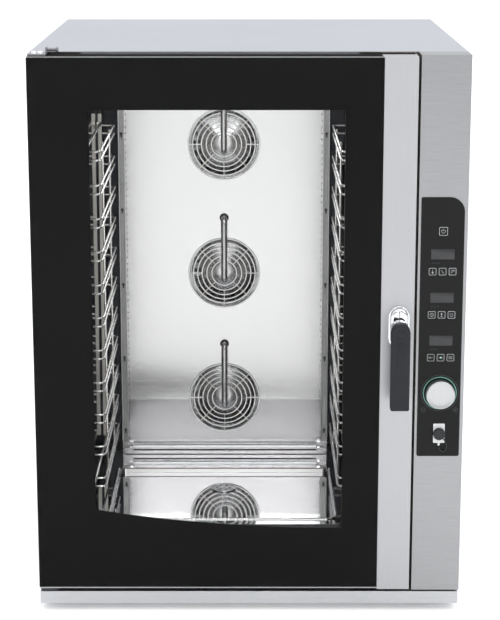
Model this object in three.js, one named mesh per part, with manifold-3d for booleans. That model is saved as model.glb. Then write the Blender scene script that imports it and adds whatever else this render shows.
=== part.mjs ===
// Combi steamer oven for eleven GN 1/1 levels, as a scene graph of separate parts.
// Millimetres, +Z up. The front faces -Y and X runs to the right as seen from the front.
// Inside the main group Y is the distance behind the door face, so every depth below is from there.
import * as THREE from "three";
import { mergeVertices } from "three/addons/utils/BufferGeometryUtils.js";
import Module from "manifold-3d";

// ---------------------------------------------------------------- driving dimensions
const WIDTH = 875;
const DEPTH = 825;
const ROOF_Z = 1163;
const FOOT_HEIGHT = 15;
const HANDLE_REACH = 58;
const SHEET = 1.5;
const GAP = 0.4;
const SIDE = WIDTH / 2;
const BODY_FRONT = 65;
const FLANGE_FRONT = 67;
const BACK_PANEL_DEPTH = 806;
const WATER = { x: 300, z: 110 };
const CABLE = { x: 380, z: 110 };
const BASE_TOP = 41.5;

const CENTRE_X = -57.5;
const CHAMBER = { width: 570, floor: 165, ceiling: 1075, rear: 610 };
const RECESS = { width: 485, front: 95, rear: 422, drop: 10, corner: 22 };
const DRAIN = { depth: 315, radius: 24, pipeRadius: 16, pipeZ: 72 };

const FAN_Z = { top: 904, middle: 603, bottom: 303 };
const GRILLE_RINGS = [81.3, 71.3, 61.5, 51.2, 40.3, 28.6];
const GRILLE_DEPTH = 526;
const WHEEL_RADIUS = 92;
const HEATER_RADIUS = 112;
const HEATER_TAIL = { x: 20, drop: 110 };
const PIPE_RISE = 130;
const PIPE_DROP = 16;
const PIPE_DEPTH = 515;
const PIPE_RADIUS = 7.5;
const BAFFLE = { width: 482, front: 530, bottom: 166, top: 1068, side: 45, lip: 15, reach: 8 };
const BAFFLE_HOLE = 80;

const RACK = { near: 105, far: 485, top: 954, pitch: 70, levels: 11, drop: 18, wire: 5 };
const RACK_INNER = 246.5;
const RACK_OUTER = 271.5;
const RACK_POST = 274;
const STUD_DEPTHS = [RACK.near + 20, RACK.far - 20];
const HOOK_HEIGHT = [RACK.top + 5.5, RACK.top + 11];

const DOOR = { bottom: 47, top: 1158.5, right: 333.5, glassRight: 266, glass: 5, rear: 50 };
const DOOR_HOLE = { left: -345, right: 226, bottom: 140, top: 1080 };
const HINGE = { x: -425, depth: 28, pin: 4 };
const LATCH = { x: 303, z: 613, shaft: 6 };
const LEVER = { width: 38, bottom: 452, front: -HANDLE_REACH, rear: -36 };

const COLUMN = { left: 338.5, bottom: 45.5 };
const PANEL = { left: 343.5, right: 430.5, bottom: 339.5, top: 879.5, front: -2.1, rear: -0.3 };
const KEY_X = 388.5;
const KEY_PITCH = 20;
const KEY_ROWS = { temperature: 728, time: 638.5, steam: 549 };
const KEY_SIZE = 16.6;
const ON_KEY = { z: 810.5, size: 19 };
const DISPLAY = { width: 48, height: 22, rise: 35.5 };
const KNOB = { z: 474.3, radius: 29.5, front: -21, rear: -4.2 };
const PROBE = { z: 389, width: 23.5, height: 41, cap: 12 };

// ---------------------------------------------------------------- solids
const wasm = await Module();
wasm.setup();

function solid(geometry) {
  const bare = geometry.clone();
  bare.deleteAttribute("normal");
  bare.deleteAttribute("uv");
  const merged = mergeVertices(bare, 1e-4);
  return new wasm.Manifold(
    new wasm.Mesh({
      numProp: 3,
      vertProperties: merged.attributes.position.array,
      triVerts: new Uint32Array(merged.index.array),
    }),
  );
}

function surface(body) {
  const mesh = body.getMesh();
  const geometry = new THREE.BufferGeometry();
  geometry.setAttribute("position", new THREE.BufferAttribute(mesh.vertProperties, 3));
  geometry.setIndex(new THREE.BufferAttribute(mesh.triVerts, 1));
  const flat = geometry.toNonIndexed();
  flat.computeVertexNormals();
  return flat;
}

function join(...bodies) {
  return bodies.reduce((whole, body) => whole.add(body));
}

function cut(body, ...tools) {
  return tools.reduce((whole, tool) => whole.subtract(tool), body);
}

// A box from its lowest to its highest value along X, Y (depth) and Z.
function block([x0, x1], [y0, y1], [z0, z1]) {
  const box = new THREE.BoxGeometry(x1 - x0, y1 - y0, z1 - z0);
  return solid(box.translate((x0 + x1) / 2, (y0 + y1) / 2, (z0 + z1) / 2));
}

// A round bar between two points.
function rod(radius, from, to, sides = 16) {
  const start = new THREE.Vector3(...from);
  const along = new THREE.Vector3(...to).sub(start);
  const bar = new THREE.CylinderGeometry(radius, radius, along.length(), sides);
  const turn = new THREE.Quaternion().setFromUnitVectors(
    new THREE.Vector3(0, 1, 0),
    along.clone().normalize(),
  );
  bar.applyQuaternion(turn);
  const middle = start.addScaledVector(along, 0.5);
  return solid(bar.translate(middle.x, middle.y, middle.z));
}

// A turned part about the Y axis, from [radius, depth] points that start and end on the axis.
function turned(profile, sides = 24) {
  const points = profile.map(([radius, depth]) => new THREE.Vector2(radius, depth));
  return solid(new THREE.LatheGeometry(points, sides));
}

// A turned part about the Z axis, from [radius, height] points.
function upright(profile, sides = 24) {
  const points = profile.map(([radius, height]) => new THREE.Vector2(radius, height));
  return solid(new THREE.LatheGeometry(points, sides).rotateX(Math.PI / 2));
}

// A rectangle with a radius at each corner: top left, top right, bottom right, bottom left.
function rounded(x0, x1, z0, z1, radii) {
  const [tl, tr, br, bl] = Array.isArray(radii) ? radii : [radii, radii, radii, radii];
  const shape = new THREE.Shape();
  shape.moveTo(x0 + bl, z0);
  shape.lineTo(x1 - br, z0);
  shape.absarc(x1 - br, z0 + br, br, -Math.PI / 2, 0, false);
  shape.lineTo(x1, z1 - tr);
  shape.absarc(x1 - tr, z1 - tr, tr, 0, Math.PI / 2, false);
  shape.lineTo(x0 + tl, z1);
  shape.absarc(x0 + tl, z1 - tl, tl, Math.PI / 2, Math.PI, false);
  shape.lineTo(x0, z0 + bl);
  shape.absarc(x0 + bl, z0 + bl, bl, Math.PI, 1.5 * Math.PI, false);
  return shape;
}

// An outline in X and Z, made solid between two depths.
function plate(shape, front, rear, curveSegments = 4) {
  const sheet = new THREE.ExtrudeGeometry(shape, {
    depth: rear - front,
    bevelEnabled: false,
    curveSegments,
  });
  return solid(sheet.rotateX(Math.PI / 2).translate(0, rear, 0));
}

// An outline in X and depth, made solid between two heights.
function slab(shape, bottom, top, curveSegments = 4) {
  const sheet = new THREE.ExtrudeGeometry(shape, {
    depth: top - bottom,
    bevelEnabled: false,
    curveSegments,
  });
  return solid(sheet.translate(0, 0, bottom));
}

// ---------------------------------------------------------------- materials and assembly
const FINISHES = {
  brushedSteel: { color: 0xc9cacc, roughness: 0.35, metalness: 1 },
  polishedSteel: { color: 0xd8d9db, roughness: 0.08, metalness: 1 },
  chrome: { color: 0xe6e7e9, roughness: 0.05, metalness: 1 },
  galvanised: { color: 0xa9adb0, roughness: 0.5, metalness: 1 },
  motorPaint: { color: 0x3a3d40, roughness: 0.55, metalness: 0 },
  heaterSteel: { color: 0x55504c, roughness: 0.45, metalness: 1 },
  blackGlass: { color: 0x1b1b1a, roughness: 0.06, metalness: 0 },
  clearGlass: { color: 0xdfe8e6, roughness: 0.03, metalness: 0 },
  panelBlack: { color: 0x222120, roughness: 0.25, metalness: 0 },
  keyBlack: { color: 0x2b2b2a, roughness: 0.4, metalness: 0 },
  leverBlack: { color: 0x2e3032, roughness: 0.45, metalness: 0 },
  rubber: { color: 0x202224, roughness: 0.8, metalness: 0 },
  displayGrey: { color: 0x3a3a3a, roughness: 0.2, metalness: 0 },
  ringGreen: { color: 0x9fdcc0, roughness: 0.3, metalness: 0 },
  knobSteel: { color: 0xdedede, roughness: 0.25, metalness: 1 },
  brass: { color: 0xb89a55, roughness: 0.35, metalness: 1 },
};

function part(name, body, finish) {
  const mesh = new THREE.Mesh(surface(body), new THREE.MeshStandardMaterial(FINISHES[finish]));
  mesh.name = name;
  return mesh;
}

function group(...children) {
  const made = new THREE.Group();
  made.add(...children);
  return made;
}

// ---------------------------------------------------------------- base and feet
function baseFrame() {
  const outer = block([-SIDE + 1.5, SIDE - 1.5], [2, DEPTH - 2], [FOOT_HEIGHT, BASE_TOP]);
  const inner = block([-SIDE + 3.5, SIDE - 3.5], [4, DEPTH - 4], [FOOT_HEIGHT + 2, BASE_TOP + 5]);
  const ledge = block([-SIDE + 2, SIDE - 2], [2.5, 100], [BASE_TOP - 2, BASE_TOP]);
  const studs = footPlaces().map(([x, y]) =>
    rod(8.5, [x, y, FOOT_HEIGHT - 1], [x, y, FOOT_HEIGHT + 3]),
  );
  return cut(join(cut(outer, inner), ledge), ...studs);
}

function footPlaces() {
  const x = SIDE - 55;
  return [
    [-x, 130],
    [x, 130],
    [-x, DEPTH - 80],
    [x, DEPTH - 80],
  ];
}

function feet() {
  const names = ["foot_front_left", "foot_front_right", "foot_rear_left", "foot_rear_right"];
  const profile = [
    [0, 0],
    [22, 0],
    [25, 3],
    [25, 9],
    [14, FOOT_HEIGHT - GAP],
    [8, FOOT_HEIGHT - GAP],
    [8, 28],
    [0, 28],
  ];
  return footPlaces().map(([x, y], i) => {
    const foot = part(names[i], upright(profile, 12), "rubber");
    foot.position.set(x, y, 0);
    return foot;
  });
}

// ---------------------------------------------------------------- cabinet sheets
// A side sheet with folded edges and a field of cooling slots; side is -1 for left and 1 for right.
function sidePanel(side, slotDepths, slotHeights) {
  const height = [BASE_TOP + 0.5, ROOF_Z - 2];
  const skin = block([SIDE - 2, SIDE], [BODY_FRONT, DEPTH], height);
  const frontFold = block([SIDE - 14, SIDE], [BODY_FRONT, BODY_FRONT + SHEET], height);
  const rearFold = block([SIDE - 14, SIDE], [DEPTH - SHEET, DEPTH], height);
  const slots = slotHeights.flatMap((z) =>
    slotDepths.map((y) => block([SIDE - 5, SIDE + 5], [y, y + 45], [z, z + 5])),
  );
  const right = cut(join(skin, frontFold, rearFold), ...slots);
  return side > 0 ? right : right.mirror([1, 0, 0]);
}

function steps(first, pitch, count) {
  return Array.from({ length: count }, (_, i) => first + pitch * i);
}

function topPanel() {
  const skin = block([-SIDE, SIDE], [BODY_FRONT, DEPTH], [ROOF_Z - SHEET, ROOF_Z]);
  const fold = [-1, 1].map((side) =>
    block(
      side > 0 ? [SIDE - 5, SIDE - 3] : [-SIDE + 3, -SIDE + 5],
      [BODY_FRONT + 5, BACK_PANEL_DEPTH - 2],
      [ROOF_Z - 16, ROOF_Z - 1],
    ),
  );
  return join(skin, ...fold);
}

function backPanel() {
  const edge = SIDE - 5.5;
  const front = BACK_PANEL_DEPTH;
  const skin = block([-edge, edge], [front, front + SHEET], [BASE_TOP + 1, ROOF_Z - 2]);
  const slots = steps(-330, 66, 4).flatMap((x) =>
    steps(880, 26, 4).map((z) => block([x, x + 44], [front - 2, front + 4], [z, z + 6])),
  );
  return cut(
    skin,
    ...slots,
    rearHole(CENTRE_X, DRAIN.pipeZ, DRAIN.pipeRadius + 1),
    rearHole(WATER.x, WATER.z, 11),
    rearHole(CABLE.x, CABLE.z, 15.5),
  );
}

function rearHole(x, z, radius) {
  return rod(radius, [x, BACK_PANEL_DEPTH - 3, z], [x, BACK_PANEL_DEPTH + 5, z], 12);
}

// ---------------------------------------------------------------- services at the rear
function drainPipe() {
  const radius = DRAIN.pipeRadius;
  const elbow = [CENTRE_X, DRAIN.depth, DRAIN.pipeZ];
  const drop = rod(radius, [CENTRE_X, DRAIN.depth, CHAMBER.floor - RECESS.drop - 2], elbow, 12);
  const knee = rod(radius, [CENTRE_X, DRAIN.depth - radius, DRAIN.pipeZ], elbow, 12);
  const run = rod(radius, elbow, [CENTRE_X, DEPTH - 3, DRAIN.pipeZ], 12);
  const bore = rod(13, [CENTRE_X, DEPTH - 60, DRAIN.pipeZ], [CENTRE_X, DEPTH, DRAIN.pipeZ], 12);
  return cut(join(drop, knee, run), bore);
}

// A threaded inlet with its backing flange, seen from behind the cabinet.
function waterInlet() {
  const profile = [
    [0, BACK_PANEL_DEPTH - 30],
    [10, BACK_PANEL_DEPTH - 30],
    [10, BACK_PANEL_DEPTH + SHEET + GAP],
    [18, BACK_PANEL_DEPTH + SHEET + GAP],
    [18, BACK_PANEL_DEPTH + 6],
    [10, BACK_PANEL_DEPTH + 6],
    [10, DEPTH - 2],
    [0, DEPTH - 2],
  ];
  return turned(profile, 14).translate([WATER.x, 0, WATER.z]);
}

function cableGland() {
  const profile = [
    [0, BACK_PANEL_DEPTH - 12],
    [15, BACK_PANEL_DEPTH - 12],
    [15, BACK_PANEL_DEPTH + SHEET + GAP],
    [21, BACK_PANEL_DEPTH + SHEET + GAP],
    [21, BACK_PANEL_DEPTH + 9],
    [14, DEPTH - 3],
    [0, DEPTH - 3],
  ];
  const bore = rod(6, [0, BACK_PANEL_DEPTH - 20, 0], [0, DEPTH, 0]);
  return cut(turned(profile, 6), bore).translate([CABLE.x, 0, CABLE.z]);
}

// ---------------------------------------------------------------- cooking chamber
function floorOutline(inset) {
  const half = RECESS.width / 2 - inset;
  const corner = RECESS.corner - inset;
  return rounded(CENTRE_X - half, CENTRE_X + half, RECESS.front + inset, RECESS.rear - inset, corner);
}

// The welded chamber with its front flange, floor recess, drain, rear openings and rack studs.
function cookingChamber() {
  const half = CHAMBER.width / 2;
  const left = CENTRE_X - half;
  const right = CENTRE_X + half;
  const flange = block(
    [-SIDE + 3, SIDE - 3],
    [FLANGE_FRONT, FLANGE_FRONT + SHEET],
    [BASE_TOP + 1, ROOF_Z - 2],
  );
  const outer = block(
    [left - SHEET, right + SHEET],
    [FLANGE_FRONT, CHAMBER.rear + SHEET],
    [CHAMBER.floor - SHEET, CHAMBER.ceiling + SHEET],
  );
  const pan = slab(floorOutline(-SHEET), CHAMBER.floor - RECESS.drop - SHEET, CHAMBER.floor);
  const inner = block(
    [left, right],
    [FLANGE_FRONT - 5, CHAMBER.rear],
    [CHAMBER.floor, CHAMBER.ceiling],
  );
  const recess = slab(floorOutline(0), CHAMBER.floor - RECESS.drop, CHAMBER.floor + 1);
  const drain = rod(DRAIN.radius, [CENTRE_X, DRAIN.depth, 80], [CENTRE_X, DRAIN.depth, CHAMBER.floor]);
  const studs = [-1, 1].flatMap((side) => rackStuds(side));
  const rearHoles = Object.values(FAN_Z).flatMap((z) => chamberHoles(z));
  return cut(join(cut(join(flange, outer, pan), inner), ...studs), recess, drain, ...rearHoles);
}

// Openings in the rear wall for one motor shaft, its water pipe and its two heater tails.
function chamberHoles(z) {
  const hole = (x, height, radius) =>
    rod(radius, [x, CHAMBER.rear - 4, height], [x, CHAMBER.rear + 6, height], 8);
  return [
    hole(CENTRE_X, z, 12),
    hole(CENTRE_X, z + PIPE_RISE, PIPE_RADIUS + 1.5),
    hole(CENTRE_X - HEATER_TAIL.x, z - HEATER_TAIL.drop, 8),
    hole(CENTRE_X + HEATER_TAIL.x, z - HEATER_TAIL.drop, 8),
  ];
}

function rackStuds(side) {
  const wall = CENTRE_X + (side * CHAMBER.width) / 2;
  return STUD_DEPTHS.map((y) => rod(5, [wall + side, y, RACK.top], [wall - side * 8, y, RACK.top], 8));
}

function doorGasket() {
  const half = CHAMBER.width / 2;
  const round = (grow, corner) =>
    rounded(
      CENTRE_X - half - grow,
      CENTRE_X + half + grow,
      CHAMBER.floor - grow + 1,
      CHAMBER.ceiling + grow - 1,
      corner,
    );
  const seal = plate(round(18, 16), DOOR.rear + 4.9, FLANGE_FRONT - GAP);
  return cut(seal, plate(round(4, 6), DOOR.rear, FLANGE_FRONT + 5));
}

function drainStrainer() {
  const top = CHAMBER.floor - RECESS.drop + 2.4;
  const disc = rod(DRAIN.radius + 4, [0, 0, top - 2], [0, 0, top], 24);
  const holes = steps(0, Math.PI / 3, 6).map((turn) => {
    const x = 14 * Math.cos(turn);
    const y = 14 * Math.sin(turn);
    return rod(3.5, [x, y, top - 4], [x, y, top + 2], 8);
  });
  return cut(disc, ...holes);
}

// ---------------------------------------------------------------- fan wall
function fanBaffle() {
  const x0 = CENTRE_X - BAFFLE.width / 2;
  const x1 = CENTRE_X + BAFFLE.width / 2;
  const height = [BAFFLE.bottom, BAFFLE.top];
  const face = block([x0, x1], [BAFFLE.front, BAFFLE.front + SHEET], height);
  const sides = [
    block([x0, x0 + SHEET], [BAFFLE.front + SHEET / 2, BAFFLE.front + BAFFLE.side], height),
    block([x1 - SHEET, x1], [BAFFLE.front + SHEET / 2, BAFFLE.front + BAFFLE.side], height),
  ];
  const lip = block(
    [x0 + 4, x1 - 4],
    [BAFFLE.front - BAFFLE.reach, BAFFLE.front + SHEET / 2],
    [BAFFLE.bottom + 0.5, BAFFLE.bottom + BAFFLE.lip],
  );
  const holes = Object.values(FAN_Z).flatMap((z) => [
    rod(BAFFLE_HOLE, [CENTRE_X, 500, z], [CENTRE_X, 560, z], 24),
    rod(PIPE_RADIUS + 3, [CENTRE_X, 500, z + PIPE_RISE], [CENTRE_X, 560, z + PIPE_RISE], 10),
  ]);
  return cut(join(face, ...sides, lip), ...holes);
}

// A guard of concentric wires on eight spokes, about its own centre.
function fanGrille() {
  const wire = 3.2;
  const rings = GRILLE_RINGS.map((radius) => {
    const section = [
      [radius, 0],
      [radius + wire / 2, wire],
      [radius - wire / 2, wire],
      [radius, 0],
    ];
    return turned(section, 12);
  });
  const spoke = (degrees, inner) =>
    rod(wire / 2, [inner, wire - 1.2, 0], [GRILLE_RINGS[0], wire - 1.2, 0], 4).rotate([
      0,
      -degrees,
      0,
    ]);
  const diagonals = [45, 135, 225, 315].map((degrees) => spoke(degrees, GRILLE_RINGS[5] - 1));
  const level = [0, 180].map((degrees) => spoke(degrees, GRILLE_RINGS[3]));
  const vertical = [90, 270].map((degrees) => spoke(degrees, GRILLE_RINGS[4]));
  return join(...rings, ...diagonals, ...level, ...vertical);
}

// The injection pipe comes out of the wall above the fan, runs down and turns back at the hub.
function waterPipe() {
  const outlet = rod(PIPE_RADIUS, [0, PIPE_DEPTH, PIPE_RISE], [0, CHAMBER.rear + 10, PIPE_RISE], 10);
  const drop = rod(
    PIPE_RADIUS,
    [0, PIPE_DEPTH, PIPE_RISE + PIPE_RADIUS],
    [0, PIPE_DEPTH, -PIPE_DROP - PIPE_RADIUS],
    10,
  );
  const nozzle = rod(PIPE_RADIUS, [0, PIPE_DEPTH, -PIPE_DROP], [0, GRILLE_DEPTH + 14, -PIPE_DROP], 10);
  return join(outlet, drop, nozzle);
}

function fanWheel() {
  const disc = turned(
    [
      [0, 548],
      [20, 548],
      [22, 552],
      [22, 586],
      [WHEEL_RADIUS, 586],
      [WHEEL_RADIUS, 588],
      [0, 588],
    ],
    20,
  );
  const blade = block([58, WHEEL_RADIUS - 1], [552, 587], [-1, 1])
    .rotate([0, 20, 0])
    .translate([-8, 0, 22]);
  const blades = steps(0, 45, 8).map((degrees) => blade.rotate([0, degrees, 0]));
  const bore = rod(6.4, [0, 553, 0], [0, 600, 0], 12);
  return cut(join(disc, ...blades), bore);
}

function heatingElement() {
  const ring = new THREE.TorusGeometry(HEATER_RADIUS, 5, 5, 20).rotateX(Math.PI / 2);
  const tails = [-HEATER_TAIL.x, HEATER_TAIL.x].map((x) =>
    rod(5, [x, 568, -HEATER_TAIL.drop], [x, CHAMBER.rear + 12, -HEATER_TAIL.drop], 8),
  );
  return join(solid(ring).translate([0, 568, 0]), ...tails);
}

function fanMotor() {
  return turned(
    [
      [0, 556],
      [6, 556],
      [6, 612.5],
      [70, 612.5],
      [70, 618],
      [60, 622],
      [60, 735],
      [48, 742],
      [0, 742],
    ],
    14,
  );
}

function fanUnit(place, z) {
  const unit = group(
    part(`fan_wheel_${place}`, fanWheel(), "brushedSteel"),
    part(`fan_motor_${place}`, fanMotor(), "motorPaint"),
    part(`heating_element_${place}`, heatingElement(), "heaterSteel"),
    part(`water_pipe_${place}`, waterPipe(), "polishedSteel"),
  );
  const grille = part(`fan_grille_${place}`, fanGrille(), "polishedSteel");
  grille.position.y = GRILLE_DEPTH;
  unit.add(grille);
  unit.position.set(CENTRE_X, 0, z);
  return unit;
}

// ---------------------------------------------------------------- tray racks
// Eleven pairs of U-shaped wires on two end posts, with a middle post hanging from the top bar.
function trayRack(side) {
  const half = RACK.wire / 2;
  const place = (x) => CENTRE_X + side * x;
  const across = (from, to) => [place(from), place(to)].sort((a, b) => a - b);
  const loop = new THREE.Shape(
    [
      [RACK_OUTER + half, RACK.near - half],
      [RACK_INNER - half, RACK.near - half],
      [RACK_INNER - half, RACK.far + half],
      [RACK_OUTER + half, RACK.far + half],
      [RACK_OUTER + half, RACK.far - half],
      [RACK_INNER + half, RACK.far - half],
      [RACK_INNER + half, RACK.near + half],
      [RACK_OUTER + half, RACK.near + half],
    ].map(([x, y]) => new THREE.Vector2(place(x), y)),
  );
  const wires = steps(RACK.top, -RACK.pitch, RACK.levels).flatMap((z) =>
    [z, z - RACK.drop].map((height) => slab(loop, height - half, height + half)),
  );
  const low = RACK.top - RACK.pitch * (RACK.levels - 1) - RACK.drop - 12;
  const posts = [RACK.near + 6, RACK.far - 6].map((y) =>
    block(across(RACK_OUTER - 1, RACK_POST + 3), [y - 5, y + 5], [low, RACK.top + 30]),
  );
  const middle = (RACK.near + RACK.far) / 2;
  const thick = across(RACK_POST - 1, RACK_POST + 3);
  const hanger = block(thick, [middle - 4, middle + 4], [low, RACK.top + 10]);
  const foot = block(thick, [RACK.near + 6, RACK.far - 6], [low, low + 5]);
  const header = block(thick, [RACK.near + 6, RACK.far - 6], HOOK_HEIGHT);
  const hooks = STUD_DEPTHS.map((y) =>
    block(across(RACK_POST, CHAMBER.width / 2 - 2), [y - 8, y + 8], HOOK_HEIGHT),
  );
  return join(...wires, ...posts, hanger, foot, header, ...hooks);
}

// ---------------------------------------------------------------- door
// A folded frame with a window, hollow between its two faces, and the steel strip at its right.
function doorFrame() {
  const left = -SIDE + 0.5;
  const front = DOOR.glass + GAP;
  const height = [DOOR.bottom, DOOR.top];
  const shell = block([left, DOOR.right], [front, DOOR.rear], height);
  const strip = block([DOOR.glassRight + GAP, DOOR.right], [0, front + 2], height);
  const hollow = block(
    [left + SHEET, DOOR.right - SHEET],
    [front + SHEET, DOOR.rear - SHEET],
    [DOOR.bottom + SHEET, DOOR.top - SHEET],
  );
  const stripHollow = block(
    [DOOR.glassRight + GAP + SHEET, DOOR.right - SHEET],
    [SHEET, front + 3],
    [DOOR.bottom + SHEET, DOOR.top - SHEET],
  );
  const window = block(
    [DOOR_HOLE.left, DOOR_HOLE.right],
    [front - 1, DOOR.rear + 1],
    [DOOR_HOLE.bottom, DOOR_HOLE.top],
  );
  const pins = rod(HINGE.pin + 0.5, [HINGE.x, HINGE.depth, 40], [HINGE.x, HINGE.depth, ROOF_Z], 12);
  const shaft = rod(LATCH.shaft + 0.6, [LATCH.x, -2, LATCH.z], [LATCH.x, DOOR.rear + 2, LATCH.z], 12);
  return cut(join(shell, strip), hollow, stripHollow, window, pins, shaft);
}

function outerGlass() {
  return plate(rounded(-SIDE, DOOR.glassRight, DOOR.bottom + 3, DOOR.top - 1.5, 2), 0, DOOR.glass, 2);
}

function innerGlass() {
  return plate(rounded(-378, 256, 92, 1106, 6), DOOR.rear + GAP, DOOR.rear + 4.4, 3);
}

// An arm that carries the door pin; face is the arm's lower side and up is 1 above the door, -1 below it.
function hinge(face, up) {
  const arm = block([-SIDE + 1, -400], [14, BODY_FRONT - GAP], [face, face + 3]);
  const pinEnd = up > 0 ? face - 18 : face + 21;
  const pin = rod(HINGE.pin, [HINGE.x, HINGE.depth, face + 1.5], [HINGE.x, HINGE.depth, pinEnd], 12);
  return join(arm, pin);
}

// The upper arm also has an ear with an adjusting screw and two rivet heads.
function topHinge() {
  const face = DOOR.top + 0.8;
  const ear = block([-404, -401], [48, BODY_FRONT - GAP], [face, face + 13]);
  const screw = rod(3.4, [-402, 57, face + 8], [-380, 57, face + 8], 10);
  const head = rod(6, [-384, 57, face + 8], [-379, 57, face + 8], 6);
  const rivets = [HINGE.x, HINGE.x + 13].map((x) =>
    rod(5, [x, HINGE.depth, face + 2], [x, HINGE.depth, face + 6.5], 12),
  );
  return join(hinge(face, 1), ear, screw, head, ...rivets);
}

function bottomHinge() {
  return hinge(BASE_TOP + GAP, -1);
}

// ---------------------------------------------------------------- handle and latch
function handleBase() {
  const outline = rounded(LATCH.x - 21.5, LATCH.x + 21.5, LATCH.z - 44, LATCH.z + 44, 21.4);
  const rose = plate(outline, -13, -GAP, 6);
  const neck = rod(15, [LATCH.x, -10, LATCH.z], [LATCH.x, LEVER.rear + GAP, LATCH.z], 20);
  const bore = rod(LATCH.shaft + 0.4, [LATCH.x, -60, LATCH.z], [LATCH.x, 5, LATCH.z], 12);
  return cut(join(rose, neck), bore);
}

function handleLever() {
  const half = LEVER.width / 2;
  const corners = [half - 0.1, half - 0.1, 5, 5];
  const outline = rounded(LATCH.x - half, LATCH.x + half, LEVER.bottom, LATCH.z + half, corners);
  const grip = plate(outline, LEVER.front, LEVER.rear, 6);
  const shaft = rod(
    LATCH.shaft,
    [LATCH.x, LEVER.rear - 2, LATCH.z],
    [LATCH.x, DOOR.rear + 1, LATCH.z],
    12,
  );
  return join(grip, shaft);
}

function latchHook() {
  const rear = [DOOR.rear + 1.4, DOOR.rear + 8];
  const arm = block([LATCH.x - 6, LATCH.x + 6], rear, [LATCH.z - 42, LATCH.z + 9]);
  const nose = block([LATCH.x + 4, LATCH.x + 13], rear, [LATCH.z - 42, LATCH.z - 31]);
  return join(arm, nose);
}

function latchKeeper() {
  const right = LATCH.x + 31;
  const front = DOOR.rear + 3;
  const foot = block(
    [LATCH.x + 12, right],
    [FLANGE_FRONT - 3.4, FLANGE_FRONT - GAP],
    [LATCH.z - 66, LATCH.z - 8],
  );
  const post = block([LATCH.x + 20, right], [front, FLANGE_FRONT - 2], [LATCH.z - 48, LATCH.z - 25]);
  const finger = block([LATCH.x + 16.5, LATCH.x + 22], [front, front + 7], [LATCH.z - 42, LATCH.z - 31]);
  return join(foot, post, finger);
}

// ---------------------------------------------------------------- control column
function controlColumn() {
  const height = [COLUMN.bottom, ROOF_Z - 0.2];
  const shell = block([COLUMN.left, SIDE], [0, BODY_FRONT - GAP], height);
  const hollow = block(
    [COLUMN.left + SHEET, SIDE - SHEET],
    [SHEET, BODY_FRONT + 1],
    [COLUMN.bottom + SHEET, ROOF_Z - 0.2 - SHEET],
  );
  const opening = block([352, 421], [-2, SHEET + 2], [PANEL.bottom + 10, PANEL.top - 12]);
  return cut(shell, hollow, opening);
}

function keyPlaces() {
  const rows = Object.entries(KEY_ROWS).flatMap(([row, z]) =>
    ["left", "middle", "right"].map((column, i) => ({
      name: `${row}_key_${column}`,
      x: KEY_X + KEY_PITCH * (i - 1),
      z,
      size: KEY_SIZE,
    })),
  );
  return [{ name: "on_off_key", x: KEY_X, z: ON_KEY.z, size: ON_KEY.size }, ...rows];
}

function square(x, z, size, corner) {
  return rounded(x - size / 2, x + size / 2, z - size / 2, z + size / 2, corner);
}

function controlPanel() {
  const outline = rounded(PANEL.left, PANEL.right, PANEL.bottom, PANEL.top, [4, 30, 4, 4]);
  const sheet = plate(outline, PANEL.front, PANEL.rear, 8);
  const depth = [PANEL.front - 2, PANEL.rear + 2];
  const keys = keyPlaces().map(({ x, z, size }) => plate(square(x, z, size + 0.9, 3.2), ...depth, 1));
  const halfWidth = DISPLAY.width / 2;
  const halfHeight = DISPLAY.height / 2;
  const windows = displayPlaces().map((z) =>
    block([KEY_X - halfWidth, KEY_X + halfWidth], depth, [z - halfHeight, z + halfHeight]),
  );
  const shaft = rod(4, [KEY_X, depth[0], KNOB.z], [KEY_X, depth[1], KNOB.z], 12);
  const socket = rod(9.5, [KEY_X, depth[0], PROBE.z], [KEY_X, depth[1], PROBE.z], 16);
  return cut(sheet, ...keys, ...windows, shaft, socket);
}

function displayPlaces() {
  return Object.values(KEY_ROWS).map((z) => z + DISPLAY.rise);
}

function displayBoard() {
  const board = block([354, 419], [4.6, 6.2], [525, 835]);
  const lens = GAP;
  const screens = displayPlaces().map((z) =>
    block(
      [KEY_X - DISPLAY.width / 2 + lens, KEY_X + DISPLAY.width / 2 - lens],
      [PANEL.front + 0.2, 5],
      [z - DISPLAY.height / 2 + lens, z + DISPLAY.height / 2 - lens],
    ),
  );
  return join(board, ...screens);
}

function keyCap({ name, x, z, size }) {
  const key = part(name, plate(square(0, 0, size, 2.8), PANEL.front - 0.1, 3, 1), "keyBlack");
  key.position.set(x, 0, z);
  return key;
}

function encoderShaft() {
  return turned(
    [
      [0, -17],
      [3, -17],
      [3, 1],
      [9, 1],
      [9, 4],
      [3, 4],
      [3, 14],
      [0, 14],
    ],
    12,
  );
}

function controlKnob() {
  const body = turned(
    [
      [0, KNOB.front],
      [KNOB.radius - 2, KNOB.front],
      [KNOB.radius, KNOB.front + 2],
      [KNOB.radius, KNOB.rear],
      [0, KNOB.rear],
    ],
    32,
  );
  return cut(body, rod(3.4, [0, -17.5, 0], [0, 2, 0], 12));
}

function lightRing() {
  const front = PANEL.front - 1.2;
  const rear = PANEL.front - GAP;
  return turned(
    [
      [KNOB.radius + 1.8, front],
      [KNOB.radius + 5, front],
      [KNOB.radius + 5, rear],
      [KNOB.radius + 1.8, rear],
      [KNOB.radius + 1.8, front],
    ],
    24,
  );
}

function probeSocket() {
  const half = PROBE.height / 2;
  const face = block([-PROBE.width / 2, PROBE.width / 2], [-4.2, PANEL.front - GAP], [-half, half]);
  const stub = block([-2.2, 2.2], [-4.2, PANEL.front - GAP], [-half - 6, -half + 1]);
  const barrel = rod(9, [0, -3, 0], [0, 20, 0], 16);
  const bore = rod(5.5, [0, -6, 0], [0, 10, 0], 12);
  return cut(join(face, stub, barrel), bore);
}

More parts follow.
